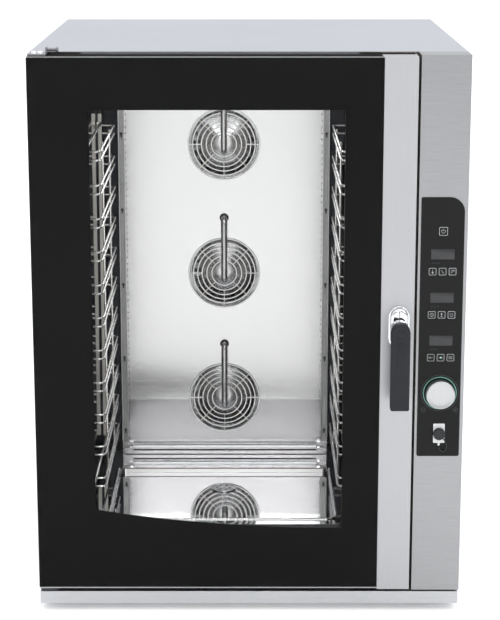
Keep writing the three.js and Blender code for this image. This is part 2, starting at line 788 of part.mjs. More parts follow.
// A rubber cap with its plug, and the tether that loops from its rim to the socket's stub.
function probeCap() {
  const cap = turned(
    [
      [0, -15],
      [PROBE.cap - 2, -15],
      [PROBE.cap, -13],
      [PROBE.cap, -4.8],
      [5, -4.8],
      [5, 8],
      [0, 8],
    ],
    20,
  );
  const places = [
    [7, -9, -7],
    [13, -8, -17],
    [15.5, -6.5, -28],
    [11, -6, -38],
    [4, -6, -36.5],
    [0.6, -6, -29],
  ];
  const route = new THREE.CatmullRomCurve3(places.map((place) => new THREE.Vector3(...place)));
  const section = new THREE.Shape().absarc(0, 0, 1.3, 0, 2 * Math.PI, false);
  const tether = new THREE.ExtrudeGeometry(section, { extrudePath: route, steps: 12, curveSegments: 3 });
  return join(cap, solid(tether));
}

// ---------------------------------------------------------------- the whole oven
function at(mesh, x, z) {
  mesh.position.set(x, 0, z);
  return mesh;
}

function strainer() {
  const mesh = part("drain_strainer", drainStrainer(), "polishedSteel");
  mesh.position.set(CENTRE_X, DRAIN.depth, 0);
  return mesh;
}

const cabinet = group(
  part("base_frame", baseFrame(), "brushedSteel"),
  ...feet(),
  part("left_side_panel", sidePanel(-1, [600, 660], steps(880, 20, 6)), "brushedSteel"),
  part("right_side_panel", sidePanel(1, [140, 200], steps(150, 20, 8)), "brushedSteel"),
  part("top_panel", topPanel(), "brushedSteel"),
  part("back_panel", backPanel(), "galvanised"),
  part("drain_pipe", drainPipe(), "galvanised"),
  part("water_inlet", waterInlet(), "brass"),
  part("cable_gland", cableGland(), "rubber"),
  part("top_hinge", topHinge(), "polishedSteel"),
  part("bottom_hinge", bottomHinge(), "polishedSteel"),
  part("latch_keeper", latchKeeper(), "polishedSteel"),
);

const chamber = group(
  part("cooking_chamber", cookingChamber(), "polishedSteel"),
  part("door_gasket", doorGasket(), "rubber"),
  strainer(),
  part("fan_baffle", fanBaffle(), "brushedSteel"),
  ...Object.entries(FAN_Z).map(([place, z]) => fanUnit(place, z)),
  part("left_rack", trayRack(-1), "polishedSteel"),
  part("right_rack", trayRack(1), "polishedSteel"),
);

const door = group(
  part("door_frame", doorFrame(), "brushedSteel"),
  part("door_outer_glass", outerGlass(), "blackGlass"),
  part("door_inner_glass", innerGlass(), "clearGlass"),
  part("handle_base", handleBase(), "chrome"),
  part("handle_lever", handleLever(), "leverBlack"),
  part("latch_hook", latchHook(), "polishedSteel"),
);

const controls = group(
  part("control_column", controlColumn(), "brushedSteel"),
  part("control_panel", controlPanel(), "panelBlack"),
  part("display_board", displayBoard(), "displayGrey"),
  ...keyPlaces().map(keyCap),
  at(part("encoder_shaft", encoderShaft(), "galvanised"), KEY_X, KNOB.z),
  at(part("control_knob", controlKnob(), "knobSteel"), KEY_X, KNOB.z),
  at(part("light_ring", lightRing(), "ringGreen"), KEY_X, KNOB.z),
  at(part("probe_socket", probeSocket(), "brushedSteel"), KEY_X, PROBE.z),
  at(part("probe_cap", probeCap(), "rubber"), KEY_X, PROBE.z),
);

// The origin is under the middle of the whole oven, handle included, on the floor.
const oven = group(cabinet, chamber, door, controls);
oven.position.y = (HANDLE_REACH - DEPTH) / 2;
export default oven;
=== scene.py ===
"""Looks of the combi steamer oven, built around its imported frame. Metres, +Z up, front towards -Y."""

import math

import bmesh
import bpy
from mathutils import Matrix, Vector

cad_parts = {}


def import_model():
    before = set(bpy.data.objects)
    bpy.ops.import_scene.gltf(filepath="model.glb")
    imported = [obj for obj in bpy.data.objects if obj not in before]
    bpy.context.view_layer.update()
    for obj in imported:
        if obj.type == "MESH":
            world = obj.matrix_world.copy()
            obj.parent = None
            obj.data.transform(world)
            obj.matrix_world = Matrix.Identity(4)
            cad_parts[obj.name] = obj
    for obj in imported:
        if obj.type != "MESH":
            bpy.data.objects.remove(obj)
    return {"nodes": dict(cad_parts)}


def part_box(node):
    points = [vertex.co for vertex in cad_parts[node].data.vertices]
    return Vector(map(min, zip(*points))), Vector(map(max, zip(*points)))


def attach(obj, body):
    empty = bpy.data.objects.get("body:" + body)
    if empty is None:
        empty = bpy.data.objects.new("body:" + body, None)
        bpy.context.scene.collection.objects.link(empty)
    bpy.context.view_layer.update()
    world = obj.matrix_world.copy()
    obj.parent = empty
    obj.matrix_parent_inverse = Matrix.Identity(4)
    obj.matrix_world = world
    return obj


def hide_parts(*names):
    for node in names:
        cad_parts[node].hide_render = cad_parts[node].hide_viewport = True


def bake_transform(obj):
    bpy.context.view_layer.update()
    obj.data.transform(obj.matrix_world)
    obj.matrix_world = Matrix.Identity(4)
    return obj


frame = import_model()
bpy.context.view_layer.update()
NODES = frame["nodes"]
MM = 0.001

# ---------------------------------------------------------------- places taken from the frame
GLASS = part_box("door_outer_glass")
FACE = GLASS[0].y
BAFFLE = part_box("fan_baffle")
CENTRE_X = (BAFFLE[0].x + BAFFLE[1].x) / 2
PLACES = ("top", "middle", "bottom")

# The clear window in the glass: its lower edge is one long sagging curve.
WINDOW = {"left": -317 * MM, "right": 191 * MM, "top": 1053 * MM, "low_left": 221 * MM, "low_right": 180 * MM}
SAG_CONTROL = (-95 * MM, 183 * MM)
BAFFLE_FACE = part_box("fan_grille_top")[1].y
ENAMEL_GAP = 0.1 * MM
ENAMEL_THICK = 0.35 * MM


def depth(millimetres):
    """The Y of a point that many millimetres behind the door face."""
    return FACE + millimetres * MM


# Where the greyer tint of the chamber's front flange ends, and where the painted shade of the space behind
# the fan wall sets in.
FLANGE = depth(57)
BEHIND_WALL = depth(541), depth(549)
# The level of the chamber's floor, half its width, the top of the wall's painted reflection band, and the
# sunken floor.
CHAMBER_FLOOR = 165 * MM
WALL_HALF = 285 * MM
PAINTED_REFLECTION_TOP = 298 * MM
RECESS = {"half": 242.5 * MM, "front": depth(95), "rear": depth(422), "corner": 22 * MM}


# ---------------------------------------------------------------- shapes
class Shape:
    """Vertices and faces of one piece, gathered from simple closed solids."""

    def __init__(self):
        self.verts = []
        self.faces = []

    def add(self, solid, move=(0, 0, 0), turn=None):
        base = len(self.verts)
        verts, faces = solid
        matrix = Matrix.Translation(move) @ (turn.to_4x4() if turn else Matrix.Identity(4))
        self.verts += [matrix @ Vector(v) for v in verts]
        self.faces += [[base + i for i in face] for face in faces]
        return self


def loft(rings, closed=False):
    """Quads between rings of points, with a flat cap at each end unless the loft closes on itself."""
    sides = len(rings[0])
    verts = [p for ring in rings for p in ring]
    spans = len(rings) if closed else len(rings) - 1
    faces = []
    for i in range(spans):
        here, there = i * sides, (i + 1) % len(rings) * sides
        for k in range(sides):
            after = (k + 1) % sides
            faces.append([here + k, here + after, there + after, there + k])
    if not closed:
        faces.append(list(range(sides)))
        faces.append([len(verts) - 1 - k for k in range(sides)])
    return verts, faces


def in_mm(points, start=0.0):
    """A profile in metres from (radius, depth) points in millimetres, whose depths count from start."""
    return [(radius * MM, start + along * MM) for radius, along in points]


def lathe(profile, sides=48):
    """A solid turned about the Y axis, from (radius, depth) points in order; radii are above zero."""
    turn = 2 * math.pi / sides
    rings = [
        [Vector((radius * math.cos(k * turn), along, radius * math.sin(k * turn))) for k in range(sides)]
        for radius, along in profile
    ]
    return loft(rings)


def annulus(profile, sides=64):
    """A ring turned about the Y axis, from a closed (radius, depth) section."""
    turn = 2 * math.pi / sides
    rings = [
        [Vector((r * math.cos(k * turn), along, r * math.sin(k * turn))) for r, along in profile]
        for k in range(sides)
    ]
    return loft(rings, closed=True)


def bend(start, middle, end, t):
    """The point at share t of a quadratic curve that leaves start and reaches end, drawn towards middle."""
    return start * (1 - t) ** 2 + middle * 2 * t * (1 - t) + end * t * t


def rounded_path(points, radius, steps=5):
    """The open polyline with each inner corner turned into an arc-like curve."""
    points = [Vector(p) for p in points]
    made = [points[0]]
    for previous, corner, following in zip(points, points[1:], points[2:]):
        before, after = previous - corner, following - corner
        reach = min(radius, before.length / 2, after.length / 2)
        start, end = corner + before.normalized() * reach, corner + after.normalized() * reach
        made += [bend(start, corner, end, k / steps) for k in range(steps + 1)]
    return made + [points[-1]]


def angles(count):
    return [2 * math.pi * k / count for k in range(count)]


def tube(points, radius, sides=10, closed=False):
    """A round bar that follows the points, without twisting."""
    points = [Vector(p) for p in points]
    count = len(points)
    directions = []
    for i, p in enumerate(points):
        before = points[i - 1] if closed or i else p
        after = points[(i + 1) % count] if closed or i < count - 1 else p
        directions.append((after - before).normalized())
    side = directions[0].orthogonal().normalized()
    rings = []
    for p, along in zip(points, directions):
        side = (side - along * side.dot(along)).normalized()
        up = along.cross(side)
        rings.append([p + (side * math.cos(a) + up * math.sin(a)) * radius for a in angles(sides)])
    return loft(rings, closed=closed)


def ring(radius, wire, sides=8, steps=64):
    """A round wire bent into a circle in X and Z."""
    return annulus([(radius + wire * math.cos(a), wire * math.sin(a)) for a in angles(sides)], steps)


def rectangle(x0, x1, z0, z1, radius=0.0, steps=6):
    """A rectangle in X and Z as a list of points; radius is one value, or one for each of tl, tr, br, bl."""
    tl, tr, br, bl = radius if isinstance(radius, (tuple, list)) else (radius,) * 4
    corners = [
        (x1, z0, -1, 1, br, -90),
        (x1, z1, -1, -1, tr, 0),
        (x0, z1, 1, -1, tl, 90),
        (x0, z0, 1, 1, bl, 180),
    ]
    made = []
    for x, z, sx, sz, r, first in corners:
        if r <= 0:
            made.append((x, z))
            continue
        cx, cz = x + sx * r, z + sz * r
        for k in range(steps + 1):
            a = math.radians(first + 90 * k / steps)
            made.append((cx + r * math.cos(a), cz + r * math.sin(a)))
    return made


def circle(x, z, radius, steps=24):
    return [(x + radius * math.cos(a), z + radius * math.sin(a)) for a in angles(steps)]


def arc(radius, first, last, x=0.0, z=0.0, steps=12):
    """Points along an arc in X and Z between two angles in degrees."""
    turns = [math.radians(first + (last - first) * k / steps) for k in range(steps + 1)]
    return [(x + radius * math.cos(a), z + radius * math.sin(a)) for a in turns]


def prism(outline, front, rear):
    """An outline in X and Z made solid between two values of Y."""
    return loft([[Vector((x, y, z)) for x, z in outline] for y in (front, rear)])


def crowned(outline, front, rear, edge, steps=4):
    """A prism whose front rim is rounded over by edge."""
    cx = sum(x for x, _ in outline) / len(outline)
    cz = sum(z for _, z in outline) / len(outline)
    rings = [[Vector((x, rear, z)) for x, z in outline]]
    for k in range(steps + 1):
        a = math.pi / 2 * k / steps
        inset, rise = edge * (1 - math.cos(a)), edge * math.sin(a)
        ring_points = []
        for i, (x, z) in enumerate(outline):
            px, pz = outline[i - 1]
            nx, nz = outline[(i + 1) % len(outline)]
            tangent = Vector((nx - px, nz - pz)).normalized()
            inward = Vector((-tangent.y, tangent.x))
            if inward.dot(Vector((cx - x, cz - z))) < 0:
                inward = -inward
            ring_points.append(Vector((x + inward.x * inset, front + edge - rise, z + inward.y * inset)))
        rings.append(ring_points)
    return loft(rings)


def punched(outer, holes, front, rear):
    """A sheet in X and Z between two values of Y, with holes."""
    flat = bmesh.new()
    loops = [outer, *holes]
    for loop in loops:
        corners = [flat.verts.new((x, 0, z)) for x, z in loop]
        for a, b in zip(corners, corners[1:] + corners[:1]):
            flat.edges.new((a, b))
    bmesh.ops.triangle_fill(flat, use_beauty=True, use_dissolve=False, edges=flat.edges[:])
    flat.verts.index_update()
    count = len(flat.verts)
    faces = [[v.index for v in f.verts] for f in flat.faces]
    verts = [Vector((v.co.x, y, v.co.z)) for y in (front, rear) for v in flat.verts]
    flat.free()
    faces += [[i + count for i in reversed(face)] for face in faces]
    first = 0
    for loop in loops:
        for k in range(len(loop)):
            a, b = first + k, first + (k + 1) % len(loop)
            faces.append([a, b, b + count, a + count])
        first += len(loop)
    return verts, faces


def box(x0, x1, y0, y1, z0, z1):
    return prism([(x0, z0), (x1, z0), (x1, z1), (x0, z1)], y0, y1)


BEVEL_ANGLE = math.radians(35)


def new_object(name, data):
    made = bpy.data.objects.new(name, data)
    bpy.context.scene.collection.objects.link(made)
    return made


def piece(name, shape, mat, body, replaces=(), bevel=0.0, smooth=40):
    """An object of the shape, smooth-shaded where its faces meet at less than smooth degrees.

    It rides on the body, or on none when no body is given.
    """
    if isinstance(shape, tuple):
        shape = Shape().add(shape)
    mesh = bpy.data.meshes.new(name)
    mesh.from_pydata([tuple(v) for v in shape.verts], [], shape.faces)
    work = bmesh.new()
    work.from_mesh(mesh)
    bmesh.ops.recalc_face_normals(work, faces=work.faces[:])
    limit = math.radians(smooth)
    for edge in work.edges:
        edge.smooth = len(edge.link_faces) == 2 and edge.calc_face_angle(0.0) < limit
    for face in work.faces:
        face.smooth = True
    work.to_mesh(mesh)
    work.free()
    mesh.materials.append(mat)
    made = new_object(name, mesh)
    if bevel:
        add_bevel(made, bevel)
    if body:
        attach(made, body)
    if replaces:
        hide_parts(*replaces)
    return made


def add_bevel(made, width, segments=2):
    bevel = made.modifiers.new("edges", "BEVEL")
    bevel.width = width
    bevel.segments = segments
    bevel.limit_method = "ANGLE"
    bevel.angle_limit = BEVEL_ANGLE
    bevel.use_clamp_overlap = True
    bevel.harden_normals = True
    return bevel


def dress(node, mat, width=0.0, segments=2):
    """Gives a CAD node its material and, with a width, softened edges."""
    made = NODES[node]
    made.data.materials.clear()
    made.data.materials.append(mat)
    if width:
        weld = made.modifiers.new("weld", "WELD")
        weld.merge_threshold = 1e-5
        flat = made.modifiers.new("flat", "DECIMATE")
        flat.decimate_type = "DISSOLVE"
        flat.angle_limit = math.radians(0.5)
        add_bevel(made, width, segments).harden_normals = False


# ---------------------------------------------------------------- materials
class Tree:
    """The shader nodes of a material or of the world."""

    def __init__(self, tree):
        self.tree = tree

    def link(self, a, b):
        self.tree.links.new(a, b)

    def node(self, kind, **inputs):
        """A new node; each named input is set to a value, or linked where it is given a socket."""
        made = self.tree.nodes.new("ShaderNode" + kind)
        for key, value in inputs.items():
            socket = made.inputs[key.replace("_", " ")]
            if isinstance(value, bpy.types.NodeSocket):
                self.link(value, socket)
            else:
                socket.default_value = value
        return made

    def ramp(self, fac, low, high, start=0.3, end=0.7):
        """Maps a factor to values or colours between low and high."""
        node = self.node("ValToRGB", Fac=fac)
        stops = node.color_ramp.elements
        stops[0].position, stops[1].position = start, end
        stops[0].color, stops[1].color = as_colour(low), as_colour(high)
        return node.outputs["Color"]

    def map_range(self, value, start, end, low, high, first=0.0, last=1.0):
        """Maps start and end, of either sign, to 0 and 1, then that share to colours between low and high."""
        share = self.node("MapRange", From_Min=start, From_Max=end, Value=value).outputs["Result"]
        return self.ramp(share, low, high, first, last)

    def combine(self, a, b, how="MULTIPLY"):
        node = self.node("MixRGB", Fac=1.0, Color1=a, Color2=b)
        node.blend_type = how
        return node.outputs["Color"]


class Nodes(Tree):
    """A material's node tree, with a Principled shader and object coordinates."""

    def __init__(self, name, **values):
        self.mat = bpy.data.materials.new(name)
        self.mat.use_nodes = True
        super().__init__(self.mat.node_tree)
        self.shader = self.tree.nodes["Principled BSDF"]
        for key, value in values.items():
            self.shader.inputs[key.replace("_", " ")].default_value = value
        self.place = self.node("TexCoord").outputs["Object"]

    def noise(self, scale=(1, 1, 1), size=10.0, detail=3.0, rough=0.5):
        place = self.node("Mapping", Scale=scale, Vector=self.place).outputs["Vector"]
        return self.node("TexNoise", Scale=size, Detail=detail, Roughness=rough, Vector=place).outputs["Fac"]

    def axis(self, letter):
        return self.node("SeparateXYZ", Vector=self.place).outputs[letter]

    def mix(self, share, colour, other):
        """The fixed colour where share is 0, and the other socket where it is 1."""
        return self.node("MixRGB", Fac=share, Color1=as_colour(colour), Color2=other).outputs["Color"]

    def add(self, a, b):
        node = self.node("Math")
        node.operation = "ADD"
        self.link(a, node.inputs[0])
        self.link(b, node.inputs[1])
        return node.outputs["Value"]

    def bump(self, height, strength, distance):
        node = self.node("Bump", Strength=strength, Distance=distance, Height=height)
        self.link(node.outputs["Normal"], self.shader.inputs["Normal"])

    def colour(self, socket):
        self.link(socket, self.shader.inputs["Base Color"])

    def roughness(self, socket):
        self.link(socket, self.shader.inputs["Roughness"])


def as_colour(value):
    return (value, value, value, 1.0) if isinstance(value, (int, float)) else (*value, 1.0)


def scaled(colour, share):
    return tuple(min(1.0, c * share) for c in colour)


def brushed(name, colour, rough=(0.28, 0.4), grain=(3, 3, 260), contrast=0.1, strength=0.12):
    """Steel with a fine grain: the grain is long along the axes whose scale is small."""
    made = Nodes(name, Metallic=1.0)
    streaks = made.noise(grain, size=6, detail=4, rough=0.65)
    clouds = made.noise(size=2.2, detail=3)
    tint = made.ramp(streaks, scaled(colour, 1 - contrast), scaled(colour, 1 + contrast))
    made.colour(made.combine(tint, made.ramp(clouds, 0.95, 1.0)))
    made.roughness(made.ramp(streaks, rough[0], rough[1]))
    made.bump(streaks, strength, 0.0002)
    return made.mat


def polished(name, colour, rough=(0.03, 0.09), wave=0.05):
    """Bright steel with faint wiping marks and a slight waviness of the sheet."""
    made = Nodes(name, Metallic=1.0)
    marks = made.noise(size=9, detail=6, rough=0.7)
    swell = made.noise(size=3.5, detail=1)
    made.colour(made.ramp(marks, scaled(colour, 0.94), colour))
    made.roughness(made.ramp(marks, rough[0], rough[1], 0.4, 0.75))
    made.bump(swell, wave, 0.01)
    return made.mat


def oven_steel(name):
    """Chamber steel: a greyer satin flange, polished inside, side walls tinted warm and dark as painted
    reflection, and dull steel painted dark behind the fan wall as painted shade.
    """
    made = Nodes(name, Metallic=1.0)
    across, along = made.axis("X"), made.axis("Y")
    marks = made.noise(size=9, detail=6, rough=0.7)
    swell = made.noise(size=3.5, detail=1)
    past_flange = (FLANGE, FLANGE + 1 * MM)
    # Painted shade: the steel turns dark beyond the fan wall.
    tint = made.map_range(along, *BEHIND_WALL, (0.9, 0.905, 0.92), (0.06, 0.062, 0.075))
    # Painted reflection: the side walls are tinted warm and dark.
    for wall, inward in ((CENTRE_X - WALL_HALF, 1), (CENTRE_X + WALL_HALF, -1)):
        start, end = wall + inward * 4 * MM, wall + inward * 10 * MM
        tint = made.combine(tint, made.map_range(across, start, end, (0.4, 0.37, 0.32), 1.0))
    colour = made.mix(made.map_range(along, *past_flange, 0.0, 1.0), (0.5, 0.503, 0.51), tint)
    made.colour(made.combine(colour, made.ramp(marks, 0.94, 1.0)))
    dull = made.map_range(along, *BEHIND_WALL, 0.0, 0.4)
    satin = made.map_range(along, *past_flange, 0.3, 0.0)
    made.roughness(made.add(made.add(dull, satin), made.ramp(marks, 0.03, 0.08, 0.4, 0.75)))
    made.bump(swell, 0.05, 0.01)
    return made.mat


def moulded(name, colour, rough=(0.35, 0.5), grain=900, strength=0.1, **values):
    """Plastic or rubber with a fine moulded texture and slight handling wear."""
    made = Nodes(name, **values)
    texture = made.noise(size=grain, detail=2)
    wear = made.noise(size=14, detail=5, rough=0.6)
    made.colour(made.ramp(wear, scaled(colour, 0.86), scaled(colour, 1.14)))
    made.roughness(made.ramp(wear, rough[0], rough[1]))
    made.bump(texture, strength, 0.0002)
    return made.mat


def galvanised(name):
    made = Nodes(name, Metallic=1.0)
    spangle = made.node("TexVoronoi", Scale=60.0, Vector=made.place).outputs
    made.colour(made.ramp(spangle["Color"], (0.42, 0.44, 0.45), (0.62, 0.64, 0.66), 0.1, 0.9))
    made.roughness(made.ramp(spangle["Color"], 0.32, 0.55, 0.1, 0.9))
    made.bump(spangle["Distance"], 0.06, 0.0005)
    return made.mat


def glazing(name, tint, gloss_ior):
    """Clear glass as a thin sheet: what is behind shows through, and the surface reflects by Fresnel."""
    made = Nodes(name)
    made.tree.nodes.remove(made.shader)
    smears = made.noise(size=7, detail=6, rough=0.7)
    clear = made.node("BsdfTransparent", Color=as_colour(tint))
    gloss = made.node("BsdfGlossy", Roughness=made.ramp(smears, 0.01, 0.05))
    mix = made.node("MixShader", Fac=made.node("Fresnel", IOR=gloss_ior).outputs["Fac"])
    made.link(clear.outputs["BSDF"], mix.inputs[1])
    made.link(gloss.outputs["BSDF"], mix.inputs[2])
    made.link(mix.outputs["Shader"], made.tree.nodes["Material Output"].inputs["Surface"])
    return made.mat


def enamel(name):
    """Black ceramic print behind the glass, with its very fine speckle."""
    made = Nodes(name, Roughness=0.04, Specular_IOR_Level=0.05)
    speckle = made.noise(size=700, detail=2)
    made.colour(made.ramp(speckle, (0.006, 0.006, 0.0056), (0.009, 0.0088, 0.0085)))
    return made.mat


def glowing(name, colour, strength):
    made = Nodes(name, Roughness=0.35)
    patches = made.noise(size=30, detail=2)
    made.colour(made.ramp(patches, scaled(colour, 0.8), colour))
    made.link(made.ramp(patches, scaled(colour, 0.55), colour), made.shader.inputs["Emission Color"])
    made.shader.inputs["Emission Strength"].default_value = strength
    return made.mat


def back_wall(name):
    """The satin fan wall: lighter above, with a greyer band along its foot that is a painted reflection of
    the door's inside bottom and the chamber floor.
    """
    made = Nodes(name, Metallic=1.0)
    streaks = made.noise((3, 3, 200), size=6, detail=4, rough=0.65)
    # Painted reflection: below this height the wall is tinted greyer, for the door's bottom and the floor
    # mirrored in it.
    blur = 2 * MM
    low, high = PAINTED_REFLECTION_TOP - blur, PAINTED_REFLECTION_TOP + blur
    painted_reflection_band = made.map_range(made.axis("Z"), low, high, (0.45, 0.445, 0.46), (0.77, 0.77, 0.77))
    made.colour(made.combine(painted_reflection_band, made.ramp(streaks, 0.96, 1.0)))
    made.roughness(made.ramp(streaks, 0.18, 0.24))
    made.bump(streaks, 0.05, 0.0002)
    return made.mat


STEEL = brushed("column_steel", (0.36, 0.361, 0.364), rough=(0.26, 0.38))
SIDE_STEEL = brushed("side_steel", (0.55, 0.555, 0.565), rough=(0.26, 0.38))
ROOF_STEEL = brushed("roof_steel", (0.525, 0.54, 0.57), grain=(3, 200, 3))
DOOR_GREY = (0.48, 0.483, 0.488)
DOOR_STEEL = brushed("door_steel_sheet", DOOR_GREY, rough=(0.36, 0.48), grain=(220, 3, 3), contrast=0.05)
SATIN = back_wall("satin_wall")
MIRROR = polished("mirror_steel", (0.9, 0.905, 0.92))
OVEN_STEEL = oven_steel("oven_steel")
WIRE = polished("wire_steel", (0.88, 0.885, 0.89), rough=(0.08, 0.16))
WIRE_GRAIN = (60, 60, 60)
GUARD_WIRE = brushed("guard_wire_steel", (0.95, 0.95, 0.95), (0.3, 0.4), WIRE_GRAIN, contrast=0.03)
TUBE_GREY = (0.62, 0.62, 0.63)
PIPE_STEEL = brushed("pipe_steel", TUBE_GREY, (0.24, 0.3), (90, 90, 3), contrast=0.04, strength=0.03)
WHEEL_STEEL = brushed("wheel_steel", TUBE_GREY, rough=(0.2, 0.3), grain=(30, 30, 30), contrast=0.15)
RACK_WIRE = brushed("rack_wire_steel", (0.93, 0.93, 0.93), (0.16, 0.26), WIRE_GRAIN, contrast=0.04)
POST_STEEL = brushed("post_steel", (0.74, 0.73, 0.7), rough=(0.38, 0.46), grain=(3, 3, 200), contrast=0.06)
# Black used as painted shade: behind the keyholes, on the small holes, under the wall's foot bar and round
# the pipe's hole.
PAINTED_SHADE_BLACK = moulded("painted_shade_black", (0.012, 0.012, 0.013), rough=(0.5, 0.7))
CHROME = polished("chrome_plate", (0.78, 0.785, 0.79), rough=(0.02, 0.06), wave=0.02)
GALVANISED = galvanised("zinc_sheet")
KNOB_STEEL = brushed("knob_face_steel", (0.54, 0.54, 0.54), (0.3, 0.4), (300, 3, 3), contrast=0.06)
HINGE_STEEL = brushed("hinge_steel", (0.3, 0.3, 0.31), rough=(0.28, 0.42), grain=WIRE_GRAIN, contrast=0.2)
BRASS = polished("brass_fitting", (0.72, 0.55, 0.25), rough=(0.22, 0.35))
# Black for the painted shadow on top of the door.
SHADOW_BLACK = moulded("painted_shadow_black", (0.008, 0.008, 0.009), rough=(0.7, 0.85), Specular_IOR_Level=0.03)
RUBBER = moulded("black_rubber", (0.02, 0.021, 0.023), rough=(0.6, 0.8))
SILICONE = moulded("grey_silicone", (0.055, 0.057, 0.06), rough=(0.5, 0.65))
ENAMEL = enamel("black_enamel")
# Both panes reflect less than real glass, whose index is about 1.5.
GLASS_TINT = (0.985, 0.985, 0.982)
PANE = glazing("door_pane", GLASS_TINT, 1.07)
INNER_PANE = glazing("inner_pane", GLASS_TINT, 1.12)
LEVER_PLASTIC = moulded("lever_black", (0.019, 0.020, 0.023), rough=(0.36, 0.46), Specular_IOR_Level=0.22)
PANEL_PLASTIC = moulded("panel_black", (0.0095, 0.0095, 0.009), rough=(0.25, 0.35), Specular_IOR_Level=0.16)
KEY_PLASTIC = moulded("key_black", (0.0115, 0.0115, 0.0112), rough=(0.3, 0.45), Specular_IOR_Level=0.18)
SCREEN = moulded("screen_grey", (0.046, 0.046, 0.047), rough=(0.12, 0.2), grain=1400, Specular_IOR_Level=0.3)
MARKS = moulded("pale_print", (0.6, 0.61, 0.61), rough=(0.5, 0.6))
FAINT_MARKS = moulded("faint_print", (0.1, 0.103, 0.105), rough=(0.5, 0.6))
# The green dot on a key is print that is given a glow: painted light.
GREEN_MARK = glowing("green_print_painted_glow", (0.35, 0.85, 0.62), 0.6)
RING_LIGHT = glowing("ring_green", (0.16, 0.36, 0.29), 0.22)
MOTOR_PAINT = moulded("motor_grey", (0.045, 0.05, 0.055), rough=(0.45, 0.6), grain=300)
HEATER = brushed("heater_tube", (0.26, 0.22, 0.2), rough=(0.35, 0.55), grain=(40, 40, 40), contrast=0.3)
SOCKET_PLATE = moulded("socket_white", (0.8, 0.8, 0.79), rough=(0.3, 0.4))


# ---------------------------------------------------------------- cabinet
def cabinet():
    dress("base_frame", SIDE_STEEL, 0.7 * MM)
    dress("left_side_panel", SIDE_STEEL, 0.6 * MM)
    dress("right_side_panel", SIDE_STEEL, 0.6 * MM)
    dress("top_panel", ROOF_STEEL, 1.2 * MM, 3)
    dress("back_panel", GALVANISED, 0.4 * MM)
    dress("control_column", STEEL, 0.9 * MM, 3)
    dress("latch_keeper", MIRROR, 0.6 * MM)
    for side in ("front_left", "front_right", "rear_left", "rear_right"):
        dress("foot_" + side, RUBBER, 1 * MM)
    for place in PLACES:
        dress("fan_motor_" + place, MOTOR_PAINT, 1 * MM)
    back_screws()
    blank_plate()
    rear_services()
    hinges()
    door_top_shadow_strip()


def back_screws():
    """Pan-head screws round the edge of the back panel."""
    lo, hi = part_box("back_panel")
    head = lathe(in_mm([(3.2, 0), (3.2, 0.6), (2.4, 1.7), (1.1, 1.9), (1.0, 1.2)]), 16)
    screws = Shape()
    inset, end = 14 * MM, 40 * MM
    for x in (lo.x + inset, hi.x - inset):
        for k in range(6):
            screws.add(head, (x, hi.y, lo.z + end + k * (hi.z - lo.z - 2 * end) / 5))
    for k in range(1, 5):
        x = lo.x + inset + k * (hi.x - lo.x - 2 * inset) / 5
        screws.add(head, (x, hi.y, hi.z - inset))
    piece("back_panel_screws", screws, WIRE, "cabinet")


def blank_plate():
    """A blank plate riveted to the back panel, where such ovens have their rating plate."""
    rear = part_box("back_panel")[1].y
    x, z, half, tall, rivet_inset = 230 * MM, 620 * MM, 55 * MM, 35 * MM, 7 * MM
    outline = rectangle(x - half, x + half, z - tall, z + tall, 4 * MM)
    shape = Shape().add(punched(outline, [], rear + 0.05 * MM, rear + 0.9 * MM))
    rivet = lathe(in_mm([(2.2, 0), (2.2, 0.5), (1.3, 1.3)]), 12)
    for side in (-1, 1):
        for end in (-1, 1):
            place = (x + side * (half - rivet_inset), rear + 0.9 * MM, z + end * (tall - rivet_inset))
            shape.add(rivet, place)
    piece("blank_plate", shape, SIDE_STEEL, "cabinet", bevel=0.2 * MM)


def rear_services():
    for node, finish in (("drain_pipe", GALVANISED), ("cable_gland", RUBBER), ("water_inlet", BRASS)):
        dress(node, finish, 0.4 * MM)


def hinges():
    """Both hinge arms, and the screws that hold the upper one."""
    dress("bottom_hinge", HINGE_STEEL, 0.5 * MM)
    dress("top_hinge", HINGE_STEEL, 0.5 * MM)
    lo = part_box("top_hinge")[0]
    arm_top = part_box("door_frame")[1].z + 3.8 * MM
    upright = Matrix.Rotation(math.radians(90), 3, "X")
    dome = lathe(in_mm([(5.6, 0), (5.6, 3.6), (4.6, 4.8), (2.6, 5.6), (1, 5.8)]), 24)
    socket = lathe(in_mm([(2.2, 5.5), (2.2, 6)]), 6)
    heads = Shape()
    for x in (lo.x + 12 * MM, lo.x + 25 * MM):
        for solid in (dome, socket):
            heads.add(solid, (x, depth(28), arm_top - 0.4 * MM), upright)
    piece("hinge_screws", heads, WIRE, "cabinet")


def door_top_shadow_strip():
    """A thin black strip on top of the door: painted shadow for the shaded gap between the door's top and the
    roof's front edge.
    """
    lo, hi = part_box("door_frame")
    right = GLASS[1].x - 2 * MM
    strip = box(lo.x + 1.5 * MM, right, depth(5.5), hi.y - 2 * MM, hi.z - 0.2 * MM, hi.z + 0.35 * MM)
    piece("door_top_shadow_strip", strip, SHADOW_BLACK, "door", bevel=0.15 * MM)


# ---------------------------------------------------------------- cooking chamber
def chamber():
    dress("cooking_chamber", OVEN_STEEL, 2 * MM, 3)
    dress("door_gasket", SILICONE, 2.5 * MM, 3)
    dress("drain_strainer", WIRE, 0.4 * MM)
    dress("fan_baffle", SATIN, 0.6 * MM)
    floor_rim()
    wall_strips()
    wall_foot()
    for place in PLACES:
        fan_unit(place)
    for side, name in ((-1, "left_rack"), (1, "right_rack")):
        rack(side, name)


